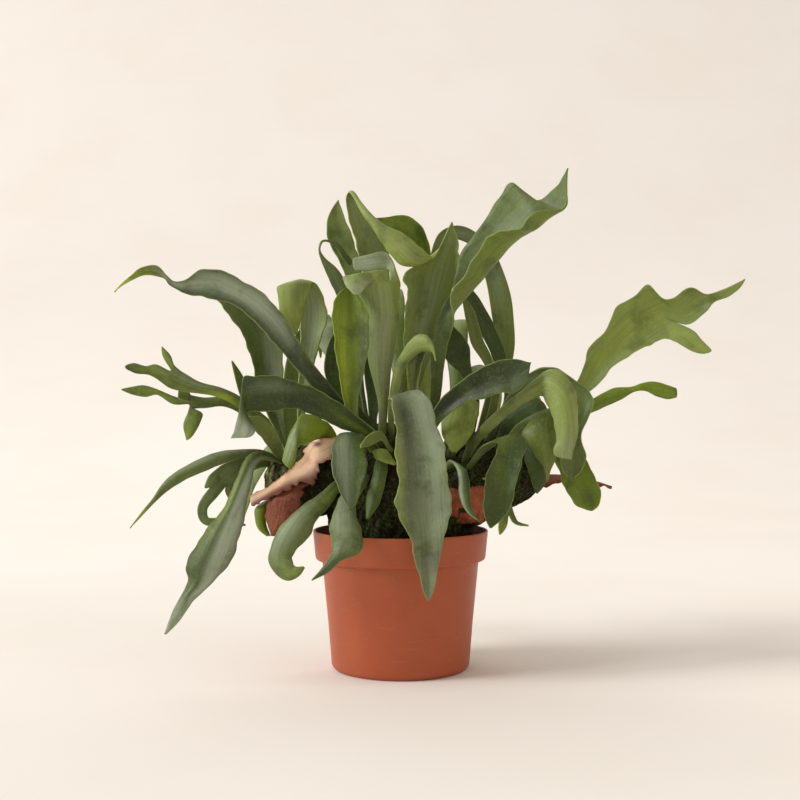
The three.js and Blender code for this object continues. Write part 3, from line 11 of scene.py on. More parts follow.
import bpy
import numpy as np
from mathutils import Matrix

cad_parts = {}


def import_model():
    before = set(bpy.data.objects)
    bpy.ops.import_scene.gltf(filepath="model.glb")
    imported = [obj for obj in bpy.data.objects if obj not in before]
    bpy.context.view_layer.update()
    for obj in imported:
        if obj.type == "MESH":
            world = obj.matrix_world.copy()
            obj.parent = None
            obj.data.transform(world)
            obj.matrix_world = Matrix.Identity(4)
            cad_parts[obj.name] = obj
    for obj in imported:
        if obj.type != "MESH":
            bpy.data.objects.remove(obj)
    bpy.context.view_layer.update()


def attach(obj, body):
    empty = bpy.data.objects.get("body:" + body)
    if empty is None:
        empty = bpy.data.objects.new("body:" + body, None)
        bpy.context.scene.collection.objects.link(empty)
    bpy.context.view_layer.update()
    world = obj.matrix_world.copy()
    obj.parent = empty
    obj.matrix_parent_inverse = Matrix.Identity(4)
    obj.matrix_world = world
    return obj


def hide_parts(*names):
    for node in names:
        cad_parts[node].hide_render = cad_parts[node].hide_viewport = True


LOG = logging.getLogger("fern")
MM = 0.001
BODY = "root"
# What a node's input takes: a number, a colour or three numbers, or another node's output
Input = float | tuple | bpy.types.NodeSocket


def linear(code: str) -> tuple[float, float, float, float]:
    """Turns an sRGB hex colour into linear light.

    Args:
        code: Six hex digits.

    Returns:
        Red, green, blue and full alpha.
    """
    srgb = np.array([int(code[i:i + 2], 16) / 255 for i in (0, 2, 4)])
    low, high = srgb / 12.92, ((srgb + 0.055) / 1.055) ** 2.4
    return (*np.where(srgb <= 0.04045, low, high).tolist(), 1.0)


def add(tree: bpy.types.NodeTree, kind: str, links: dict | None = None, **settings) -> bpy.types.Node:
    """Adds one node to a material.

    Args:
        tree: The node tree.
        kind: The node's type.
        links: For each input, by name or place, a socket to join it to or a plain value.
        settings: The node's own settings.

    Returns:
        The node.
    """
    node = tree.nodes.new(kind)
    for key, value in settings.items():
        setattr(node, key, value)
    for key, value in (links or {}).items():
        socket = node.inputs[key]
        if isinstance(value, bpy.types.NodeSocket):
            tree.links.new(value, socket)
        else:
            socket.default_value = value
    return node


def blend(tree: bpy.types.NodeTree, amount: Input, first: Input, second: Input,
          mode: str = "MIX") -> bpy.types.NodeSocket:
    """Adds a colour mix and returns its colour. Inputs 0, 6 and 7 are the amount and the two colours."""
    node = add(tree, "ShaderNodeMix", {0: amount, 6: first, 7: second}, data_type="RGBA", blend_type=mode)
    return node.outputs[2]


def ramp(tree: bpy.types.NodeTree, value: Input, low: float, high: float,
         to: tuple[float, float] = (0.0, 1.0)) -> bpy.types.NodeSocket:
    """Adds a smooth step from low to high and returns its result."""
    node = add(tree, "ShaderNodeMapRange", {0: value, 1: low, 2: high, 3: to[0], 4: to[1]},
               interpolation_type="SMOOTHSTEP")
    return node.outputs[0]


def over(tree: bpy.types.NodeTree, base: Input, colour: str | bpy.types.NodeSocket, value: Input, low: float,
         high: float, to: tuple[float, float] = (0.0, 1.0)) -> bpy.types.NodeSocket:
    """Lays a colour over the base, by an amount that steps as the value goes from low to high.

    Args:
        tree: The node tree.
        base: The colour so far.
        colour: What is laid over it: six hex digits, or a socket.
        value: What the amount follows.
        low: The value where the step starts.
        high: The value where it ends.
        to: The amount before and after the step.

    Returns:
        The new colour.
    """
    upper = linear(colour) if isinstance(colour, str) else colour
    return blend(tree, ramp(tree, value, low, high, to), base, upper)


def noise(tree: bpy.types.NodeTree, at: Input, grain_mm: float, detail: float = 3.0,
          rough: float = 0.55) -> bpy.types.NodeSocket:
    """Adds a noise whose grains are so many millimetres across, and returns its value."""
    node = add(tree, "ShaderNodeTexNoise", {
        "Vector": at, "Scale": 1 / (2 * grain_mm * MM), "Detail": detail, "Roughness": rough})
    return node.outputs["Fac"]


def spots(tree: bpy.types.NodeTree, at: Input, apart_mm: float) -> bpy.types.NodeSocket:
    """Distance from the nearest of many scattered spots that lie about so many millimetres apart."""
    node = add(tree, "ShaderNodeTexVoronoi", {"Vector": at, "Scale": 1 / (apart_mm * MM)})
    return node.outputs["Distance"]


def summed(tree: bpy.types.NodeTree, first: Input, second: Input) -> bpy.types.NodeSocket:
    """Adds two heights."""
    return add(tree, "ShaderNodeMath", {0: first, 1: second}, operation="ADD").outputs[0]


def waves(points: np.ndarray, size: float, seed: int, count: int = 6) -> np.ndarray:
    """A smooth random height at each point: the mean of several sines in seeded directions.

    Args:
        points: Places, one a row.
        size: Length of a wave, in the unit of the points.
        seed: Seed of the draw.
        count: How many sines.

    Returns:
        Heights from about -1 to 1.
    """
    draw = np.random.default_rng(seed)
    heading = draw.normal(size=(points.shape[1], count))
    heading *= draw.uniform(0.7, 1.4, count) * 2 * np.pi / (size * np.linalg.norm(heading, axis=0))
    return np.sin(points @ heading + draw.uniform(0, 2 * np.pi, count)).sum(1) / math.sqrt(count)


def placed(name: str, data: bpy.types.ID) -> bpy.types.Object:
    """Puts an object for a mesh, a lamp or a camera in the scene."""
    thing = bpy.data.objects.new(name, data)
    bpy.context.scene.collection.objects.link(thing)
    return thing


@dataclass
class Surface:
    """A mesh in the making: points in millimetres, faces, and what its material reads at each point."""

    points: np.ndarray
    faces: list
    facts: dict = field(default_factory=dict)

    def mesh(self, name: str) -> bpy.types.Mesh:
        """The surface as a mesh of that name, in metres, with its facts."""
        mesh = bpy.data.meshes.new(name)
        mesh.from_pydata((self.points * MM).tolist(), [], self.faces)
        for key, values in self.facts.items():
            values = np.asarray(values, dtype=np.float32)
            if values.ndim == 1:
                mesh.attributes.new(key, "FLOAT", "POINT").data.foreach_set("value", values)
            else:
                mesh.attributes.new(key, "FLOAT_VECTOR", "POINT").data.foreach_set("vector", values.ravel())
        return mesh

    def piece(self, name: str, material: bpy.types.Material, stands_for: str, slot: str) -> bpy.types.Object:
        """Puts the surface in the scene as a named piece.

        Args:
            name: The piece's name.
            material: Its material.
            stands_for: The frame node that it replaces, or nothing.
            slot: Name of a material slot; not used.

        Returns:
            The object.
        """
        mesh = self.mesh(name)
        mesh.shade_smooth()
        mesh.materials.append(material)
        thing = placed(name, mesh)
        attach(thing, BODY)
        if stands_for:
            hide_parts(stands_for)
        LOG.info("%s: %d points", name, len(self.points))
        return thing


def grid_faces(ids: np.ndarray) -> list:
    """Squares between neighbouring rows and columns of point numbers."""
    quads = np.stack([ids[:-1, :-1], ids[:-1, 1:], ids[1:, 1:], ids[1:, :-1]], -1)
    return quads.reshape(-1, 4)


def closed_faces(rings: int, sides: int) -> list:
    """Squares between rings of points that close, and a fan of triangles over either end.

    Args:
        rings: How many rings.
        sides: Points in a ring.

    Returns:
        The faces. The fans meet in two more points, which follow the rings' own.
    """
    count = rings * sides
    ids = np.arange(count).reshape(rings, sides)
    wrapped = np.hstack([ids, ids[:, :1]])
    fans = [(count, wrapped[0, k + 1], wrapped[0, k]) for k in range(sides)]
    fans += [(count + 1, wrapped[-1, k], wrapped[-1, k + 1]) for k in range(sides)]
    return grid_faces(wrapped).tolist() + fans


def joined(parts: list[Surface]) -> Surface:
    """One surface out of several that carry the same facts."""
    starts = np.cumsum([0] + [len(p.points) for p in parts[:-1]])
    faces = [[i + start for i in face] for part, start in zip(parts, starts) for face in part.faces]
    facts = {key: np.concatenate([p.facts[key] for p in parts]) for key in parts[0].facts}
    return Surface(np.vstack([p.points for p in parts]), faces, facts)


def thickened(points: np.ndarray, quads: np.ndarray, thickness: np.ndarray, facts: dict) -> Surface:
    """A closed blade from a sheet.

    Both faces lie half the thickness away from the sheet, along the mean of the normals of the squares
    around each point, and a rim of squares joins the open edges.

    Args:
        points: The sheet's points.
        quads: Its squares.
        thickness: Thickness at each point.
        facts: What the material reads at each point.

    Returns:
        The closed surface. Its facts gain "side", 1 on the face the squares turn to and 0 on the other.
    """
    corner = points[quads]
    normal = np.cross(corner[:, 2] - corner[:, 0], corner[:, 3] - corner[:, 1])
    total = np.zeros_like(points)
    np.add.at(total, quads.ravel(), np.repeat(normal, 4, axis=0))
    total /= np.maximum(np.linalg.norm(total, axis=1, keepdims=True), 1e-9)
    half = total * thickness[:, None] / 2
    count = len(points)
    edges = np.stack([quads, np.roll(quads, -1, axis=1)], -1).reshape(-1, 2)
    key = edges[:, 0] * count + edges[:, 1]
    back = edges[:, 1] * count + edges[:, 0]
    rim = edges[~np.isin(key, back)]
    walls = np.stack([rim[:, 0], rim[:, 0] + count, rim[:, 1] + count, rim[:, 1]], -1)
    faces = np.vstack([quads, quads[:, ::-1] + count, walls])
    doubled = {name: np.concatenate([value, value]) for name, value in facts.items()}
    doubled["side"] = np.repeat([1.0, 0.0], count)
    return Surface(np.vstack([points + half, points - half]), faces.tolist(), doubled)


def relaxed(points: np.ndarray, quads: np.ndarray, rounds: int) -> np.ndarray:
    """Eases creases. Each point moves half way to the mean of its neighbours, a rim point only along the rim.

    Args:
        points: The sheet's points.
        quads: Its squares.
        rounds: How often each point moves.

    Returns:
        The moved points.
    """
    edges = np.stack([quads, np.roll(quads, -1, axis=1)], -1).reshape(-1, 2)
    count = len(points)
    both = np.vstack([edges, edges[:, ::-1]])
    key = both[:, 0] * count + both[:, 1]
    keys, used = np.unique(key, return_counts=True)
    pairs = np.stack([keys // count, keys % count], -1)
    outer = used == 1
    on_rim = np.zeros(count, bool)
    on_rim[pairs[outer].ravel()] = True
    keep = outer | ~on_rim[pairs[:, 0]]
    start, end = pairs[keep].T
    weight = np.maximum(np.bincount(start, minlength=count), 1)[:, None]
    for _ in range(rounds):
        mean = np.stack([np.bincount(start, points[end, k], count) for k in range(3)], -1) / weight
        points = (points + mean) / 2
    return points


def new_material(name: str) -> tuple[bpy.types.Material, bpy.types.NodeTree]:
    """A named material and its emptied tree."""
    material = bpy.data.materials.new(name)
    material.use_nodes = True
    material.node_tree.nodes.clear()
    return material, material.node_tree


def coated(material: bpy.types.Material, height: bpy.types.NodeSocket, strength: float, depth_mm: float,
           look: dict) -> bpy.types.Material:
    """Joins a surface with relief to a material's output.

    Args:
        material: The material, whose tree has the nodes that colour it.
        height: Height of the relief.
        strength: Strength of the relief.
        depth_mm: Its depth.
        look: The surface's inputs by name.

    Returns:
        The same material.
    """
    tree = material.node_tree
    bump = add(tree, "ShaderNodeBump", {"Height": height, "Strength": strength, "Distance": depth_mm * MM})
    shader = add(tree, "ShaderNodeBsdfPrincipled", {**look, "Normal": bump.outputs[0]})
    add(tree, "ShaderNodeOutputMaterial", {0: shader.outputs[0]})
    return material


def fact(tree: bpy.types.NodeTree, name: str, output: str = "Fac") -> bpy.types.NodeSocket:
    """Reads a number, or with "Vector" three numbers, that the piece carries at each point."""
    return add(tree, "ShaderNodeAttribute", attribute_name=name).outputs[output]


def place(tree: bpy.types.NodeTree, source: bpy.types.NodeSocket | None = None,
          scale: tuple[float, float, float] = (1, 1, 1)) -> bpy.types.NodeSocket:
    """Object coordinates, or the given source, stretched by a scale on each axis."""
    source = source or add(tree, "ShaderNodeTexCoord").outputs["Object"]
    return add(tree, "ShaderNodeMapping", {"Vector": source, "Scale": scale}).outputs[0]


# Painted light on the blades: the colour that a patch of each kind turns a blade to
# Shade patches are painted shade, and silver ones a painted highlight on the silvery felt
# Tint patches are a yellow-green, partly fresh colour and partly painted light shining through the blade
PAINTED_LIGHT_TINTS = {"tint": "a3b52e", "shade": "29331a", "silver": "9ba68f"}


@dataclass(frozen=True)
class FernBlade:
    """Living staghorn blade: a leathery leaf under a felt of tiny star hairs.

    The hairs give a silvery bloom that breaks up reflections, so the gloss is soft and wide. Veins run along
    the blade as faint dark streaks, and light that passes through the thin blade turns it yellow-green. Sizes
    are those of one grain, in millimetres.
    """

    name: str
    upper: str
    lower: str
    young: str
    bloom: float = 0.35
    gloss: float = 0.46
    speckle: float = 0.12
    # This colour darkens bruises, veins and specks, and paints shade on the stalks near the crown
    bruise_and_shade: str = "8d967a"
    growth: str = "4a5a10"
    hairs: str = "5c6048"
    # Painted highlight: a pale line along the margins, where the edges catch the light
    edge: str = "a3aa68"
    sheen: str = "dfe8e6"
    vein_mm: float = 0.55
    hair_mm: float = 1.0
    cloud_mm: float = 14
    bruise_mm: float = 10
    growth_mm: float = 14
    spot_mm: float = 3.1
    edge_mm: float = 0.6

    def material(self) -> bpy.types.Material:
        """Builds the blade's material.

        Returns:
            The material.
        """
        material, tree = new_material(self.name)
        body, blade, reach = place(tree), fact(tree, "blade", "Vector"), fact(tree, "reach")
        # Veins are drawn in the blade's own millimetres, forty times as long as they are wide
        veins = noise(tree, place(tree, blade, (1, 1 / 40, 1)), self.vein_mm, 2.5)
        # Clouds of thinner and thicker felt, and the hairs of the felt, drawn coarser than they are
        clouds = noise(tree, body, self.cloud_mm, 3)
        hairs = noise(tree, body, self.hair_mm, 3, 0.6)
        bruises = noise(tree, body, self.bruise_mm, 4, 0.6)
        growth = noise(tree, place(tree, None, (1, 1.3, 0.9)), self.growth_mm, 3)
        base = blend(tree, fact(tree, "side"), linear(self.lower), linear(self.upper))
        base = over(tree, base, self.young, reach, 0.0, 0.4, (0.4, 0.0))
        # Painted light from each frond's patches: painted shade, painted highlights, and a yellow-green
        # partly painted as light shining through
        for kind, colour in PAINTED_LIGHT_TINTS.items():
            base = over(tree, base, colour, fact(tree, kind), 0.0, 1.0)
        dark = blend(tree, 1.0, base, linear(self.bruise_and_shade), "MULTIPLY")
        base = over(tree, base, dark, bruises, 0.5, 0.68, (0.0, 0.55))
        fresh = blend(tree, 1.0, base, linear(self.growth), "SCREEN")
        base = over(tree, base, fresh, growth, 0.5, 0.7, (0.0, 0.3))
        base = over(tree, base, dark, veins, 0.42, 0.7, (0.0, 0.27))
        # Painted shade: the stalk, in the first half of the frond, is darkened as if in the shadow of the
        # crown
        base = over(tree, base, dark, reach, 0.05, 0.45, (0.75, 0.0))
        pale = blend(tree, 1.0, base, linear(self.hairs), "SCREEN")
        base = over(tree, base, pale, clouds, 0.42, 0.72, (0.0, self.bloom * 0.5))
        base = over(tree, base, pale, hairs, 0.5, 0.7, (0.0, 0.32))
        base = over(tree, base, dark, spots(tree, body, self.spot_mm), 0.06, 0.22, (self.speckle, 0.0))
        # Painted highlight along each margin
        base = over(tree, base, self.edge, fact(tree, "margin"), 0.0, self.edge_mm, (0.28, 0.0))
        return coated(material, summed(tree, veins, hairs), 0.45, 0.35, {
            "Base Color": base, "IOR": 1.45, "Specular IOR Level": 0.36,
            "Roughness": ramp(tree, clouds, 0.3, 0.7, (self.gloss - 0.05, self.gloss + 0.1)),
            "Subsurface Weight": 0.22, "Subsurface Radius": (0.5, 1.0, 0.2), "Subsurface Scale": 2.2 * MM,
            "Sheen Weight": self.bloom * 0.2, "Sheen Roughness": 0.4, "Sheen Tint": linear(self.sheen)})


@dataclass(frozen=True)
class PaperyShield:
    """Dead shield frond: thin, dry and papery, with brown fibres and torn, darker edges.

    A dark brown, where there is one, lies where the shield marks shade: painted shade in its groove and
    along its lower edge, and partly a real stain there. Sizes are those of one grain, in millimetres.
    """

    name: str
    light: str
    dark: str
    fibre: str
    torn_edge: str = "74452f"
    edge_mm: float = 2.2
    stain_and_shade: str = ""
    dust: str = "e3cdb0"
    fibre_mm: float = 0.7
    patch_mm: float = 11
    grain_mm: float = 0.6

    def material(self) -> bpy.types.Material:
        """Builds the papery material.

        Returns:
            The material.
        """
        material, tree = new_material(self.name)
        body, blade = place(tree), fact(tree, "blade", "Vector")
        # Fibres run up the shield, drawn eighteen times as long as they are wide
        fibres = noise(tree, place(tree, blade, (1, 1 / 18, 1)), self.fibre_mm, 4, 0.65)
        patches = noise(tree, body, self.patch_mm, 4, 0.6)
        grain = noise(tree, body, self.grain_mm, 3)
        base = over(tree, linear(self.light), self.dark, patches, 0.36, 0.66)
        base = over(tree, base, self.fibre, fibres, 0.5, 0.66, (0.0, 0.45))
        base = over(tree, base, self.dust, grain, 0.5, 0.75, (0.0, 0.12))
        base = over(tree, base, self.torn_edge, fact(tree, "margin"), 0.0, self.edge_mm, (0.65, 0.0))
        # Painted shade in the groove and along the lower edge, partly a real brown stain there
        if self.stain_and_shade:
            base = over(tree, base, self.stain_and_shade, fact(tree, "shade"), 0.0, 1.0)
        return coated(material, summed(tree, fibres, grain), 0.6, 0.6, {
            "Base Color": base, "Roughness": 0.78, "IOR": 1.45, "Specular IOR Level": 0.25,
            "Subsurface Weight": 0.12, "Subsurface Radius": (1.0, 0.5, 0.25), "Subsurface Scale": 1.5 * MM})


@dataclass(frozen=True)
class MouldedPot:
    """Injection-moulded polypropylene in a terracotta colour: satin, with dust and faint scuffs."""

    name: str = "moulded_polypropylene_terracotta"
    body: str = "a34d2b"
    worn: str = "ad5a36"
    dust: str = "d9b79c"
    cloud_mm: float = 22
    scuff_mm: float = 0.8
    skin_mm: float = 0.35
    speck_mm: float = 5.5

    def material(self) -> bpy.types.Material:
        """Builds the pot's material.

        Returns:
            The material.
        """
        material, tree = new_material(self.name)
        body = place(tree)
        clouds = noise(tree, body, self.cloud_mm, 4, 0.6)
        # Scuffs run round the pot, drawn eight times as long as they are high, over a fine moulded texture
        scuffs = noise(tree, place(tree, None, (0.12, 0.12, 1)), self.scuff_mm, 3, 0.6)
        skin = noise(tree, body, self.skin_mm, 2)
        base = over(tree, linear(self.body), self.worn, clouds, 0.35, 0.7, (0.0, 0.5))
        base = over(tree, base, self.dust, scuffs, 0.6, 0.74, (0.0, 0.07))
        base = over(tree, base, self.dust, spots(tree, body, self.speck_mm), 0.03, 0.1, (0.12, 0.0))
        return coated(material, summed(tree, skin, scuffs), 0.18, 0.2, {
            "Base Color": base, "Roughness": ramp(tree, clouds, 0.3, 0.7, (0.42, 0.56)), "IOR": 1.49,
            "Specular IOR Level": 0.4, "Subsurface Weight": 0.05, "Subsurface Radius": (1.0, 0.4, 0.2),
            "Subsurface Scale": 1 * MM})


@dataclass(frozen=True)
class FibrousEarth:
    """Peat, roots and old frond bases: dull, dark and fibrous, with lighter threads.

    Moss, where there is some, grows in tufts. It is palest on the left shoot, which lies between the two
    places in pale_between, in metres.
    """

    name: str
    dark: str
    mid: str
    thread: str
    grain_mm: float = 1.2
    moss: float = 0.0
    # On the crown, the darker moss greens are partly painted shade among the fronds
    moss_dark: str = "20270f"
    moss_mid: str = "48542a"
    moss_pale: str = "86925a"
    pale_between: tuple[float, float] = (-0.085, -0.06)
    patch_mm: float = 9
    thread_mm: float = 0.6
    tuft_mm: float = 7

    def material(self) -> bpy.types.Material:
        """Builds the earthy material.

        Returns:
            The material.
        """
        material, tree = new_material(self.name)
        body = place(tree)
        crumbs = noise(tree, body, self.grain_mm, 5, 0.65)
        patches = noise(tree, body, self.patch_mm, 3)
        threads = noise(tree, place(tree, None, (1, 1, 0.2)), self.thread_mm, 4, 0.7)
        tufts = noise(tree, body, self.tuft_mm, 4, 0.7)
        base = over(tree, linear(self.dark), self.mid, crumbs, 0.35, 0.65)
        base = over(tree, base, self.thread, threads, 0.6, 0.72, (0.0, 0.6))
        base = over(tree, base, self.dark, patches, 0.5, 0.7, (0.0, 0.35))
        x = add(tree, "ShaderNodeSeparateXYZ", {0: body}).outputs[0]
        green = over(tree, linear(self.moss_dark), self.moss_mid, crumbs, 0.4, 0.65)
        green = over(tree, green, self.moss_pale, x, *self.pale_between, (0.75, 0.0))
        base = over(tree, base, green, tufts, 0.4, 0.55, (0.0, self.moss))
        return coated(material, crumbs, 0.8, 1.2, {
            "Base Color": base, "Roughness": 0.9, "IOR": 1.4, "Specular IOR Level": 0.2})


class Tone(Enum):
    """The finishes that a frond can have."""

    SILVER = FernBlade("fern_blade_silver_felt", "6a7456", "6c7a3e", "6e7e38", bloom=0.35)
    GREY = FernBlade("fern_blade_grey_green", "5b6a34", "687830", "6e7c2c", bloom=0.24)
    OLIVE = FernBlade("fern_blade_olive", "667430", "72802f", "76822a", bloom=0.18)
    DEEP = FernBlade("fern_blade_deep_green", "3a4a19", "4c5e1c", "52641e", bloom=0.14)
    BRIGHT = FernBlade("fern_blade_fresh", "6a7e1a", "7c8e1e", "80921c", bloom=0.06)
    PALE = FernBlade("fern_blade_pale", "7c8a48", "86943f", "88963a", bloom=0.22)
    RUSSET = PaperyShield("dry_frond_russet", "8c4f36", "602f25", "a9714e")
    TAN = PaperyShield("dry_frond_tan", "e8c8aa", "dcb290", "c08a62", torn_edge="b06a3a", edge_mm=3.0,
                       stain_and_shade="6b4234")
    BRICK = PaperyShield("dry_frond_brick", "a4553a", "7d3c28", "b3694a")


SLOTS = {
    Tone.SILVER: "leaf_silver", Tone.GREY: "leaf_grey", Tone.OLIVE: "leaf_olive", Tone.DEEP: "leaf_deep",
    Tone.BRIGHT: "leaf_bright", Tone.PALE: "leaf_pale", Tone.RUSSET: "shield_dried_russet",
    Tone.TAN: "shield_dried_tan", Tone.BRICK: "shield_dried_russet",
}


# A blade's thickness, and a stalk's at its foot, and the part of the frond that is stalk
BLADE_MM = 1.1
STALK_MM = 3.2
STALK_PART = 0.45
# How deep a frond sits in the crown, and the narrowest that a tip gets
ROOT_MM = 16.0
TIP_MM = 1.2
# Length of a scallop along an edge, and of the coarse and the fine tears in one
SCALLOP_MM = 24.0
TEAR_MM = 7.0
FINE_TEAR_MM = 2.6
# Half widths from which a blade takes the whole wave and the whole scallop
WAVED_MM = 8.0
SCALLOPED_MM = 6.0
# Rings from one row to the next, and squares across for each square across the part's own frond
RINGS = 9
COLUMNS = 4
# A blade's own millimetres start this far on for each next frond, so that no two have the same veins
VEINS_ON_MM = 37.0
TOWARDS_BACK = np.array([0.0, 1.0, 0.0])


def unit(vector: np.ndarray) -> np.ndarray:
    """The vector, or each row of vectors, at length one."""
    return vector / np.maximum(np.linalg.norm(vector, axis=-1, keepdims=True), 1e-9)


def smooth_rows(rows: np.ndarray, steps: int) -> np.ndarray:
    """Catmull-Rom rows between the given ones, each number on its own cubic through its neighbours."""
    padded = np.vstack([2 * rows[:1] - rows[1:2], rows, 2 * rows[-1:] - rows[-2:-1]])
    a, b, c, d = (padded[k:len(rows) - 1 + k, None] for k in range(4))
    t = (np.arange(steps) / steps)[None, :, None]
    square, cube = 2 * a - 5 * b + 4 * c - d, 3 * b - a - 3 * c + d
    fine = 0.5 * (2 * b + (c - a) * t + square * t ** 2 + cube * t ** 3)
    return np.vstack([fine.reshape(-1, rows.shape[1]), rows[-1:]])


def headings(places: np.ndarray) -> np.ndarray:
    """Direction of the midrib at each place, from the places on either side of it."""
    after = np.vstack([places[1:], places[-1:]])
    before = np.vstack([places[:1], places[:-1]])
    return unit(after - before)


def width_of(row: tuple) -> float:
    """Width of a row: its fourth number, or the way from its left edge by the midrib to its right edge."""
    if len(row) == 4:
        return row[3]
    left, middle, right = np.array(row, float).reshape(3, 3)
    return float(np.linalg.norm(left - middle) + np.linalg.norm(right - middle))


def columns_of(rows: tuple, prongs: tuple, fewest: int) -> int:
    """Squares across a strip of the part: enough for its width, or for all the lobes that it splits into.

    Args:
        rows: The strip's rows.
        prongs: Its lobes.
        fewest: Squares across a strip that is nowhere 10 mm wide.

    Returns:
        How many squares.
    """
    if prongs:
        return sum(prong.columns() for prong in prongs)
    widest = max(width_of(row) for row in rows)
    return 4 if widest > 30 else 3 if widest > 20 else fewest if widest < 10 else 2


def across_strip(columns: int) -> np.ndarray:
    """Places across a strip from -1 to 1, closer together towards the edges, where it ruffles."""
    s = np.linspace(-1, 1, columns * COLUMNS + 1)
    return (s * (1.3 - 0.3 * s ** 2))[None, :]


@dataclass(frozen=True)
class Prong:
    """A lobe of a blade: its rows, and the lobes that it splits into."""

    rows: tuple
    prongs: tuple = ()

    def columns(self) -> int:
        """Squares across the lobe."""
        return columns_of(self.rows, self.prongs, 1)


@dataclass(frozen=True)
class Patch:
    """A soft patch of painted light on a blade: painted shade, a painted highlight, or a partly painted
    yellow-green.

    The patch is centred on a part of the way along the frond and across it (-1 left edge, 1 right edge),
    and fades over its two sizes.
    """

    kind: str
    reach: float
    across: float
    sizes: tuple[float, float]
    strength: float = 1.0


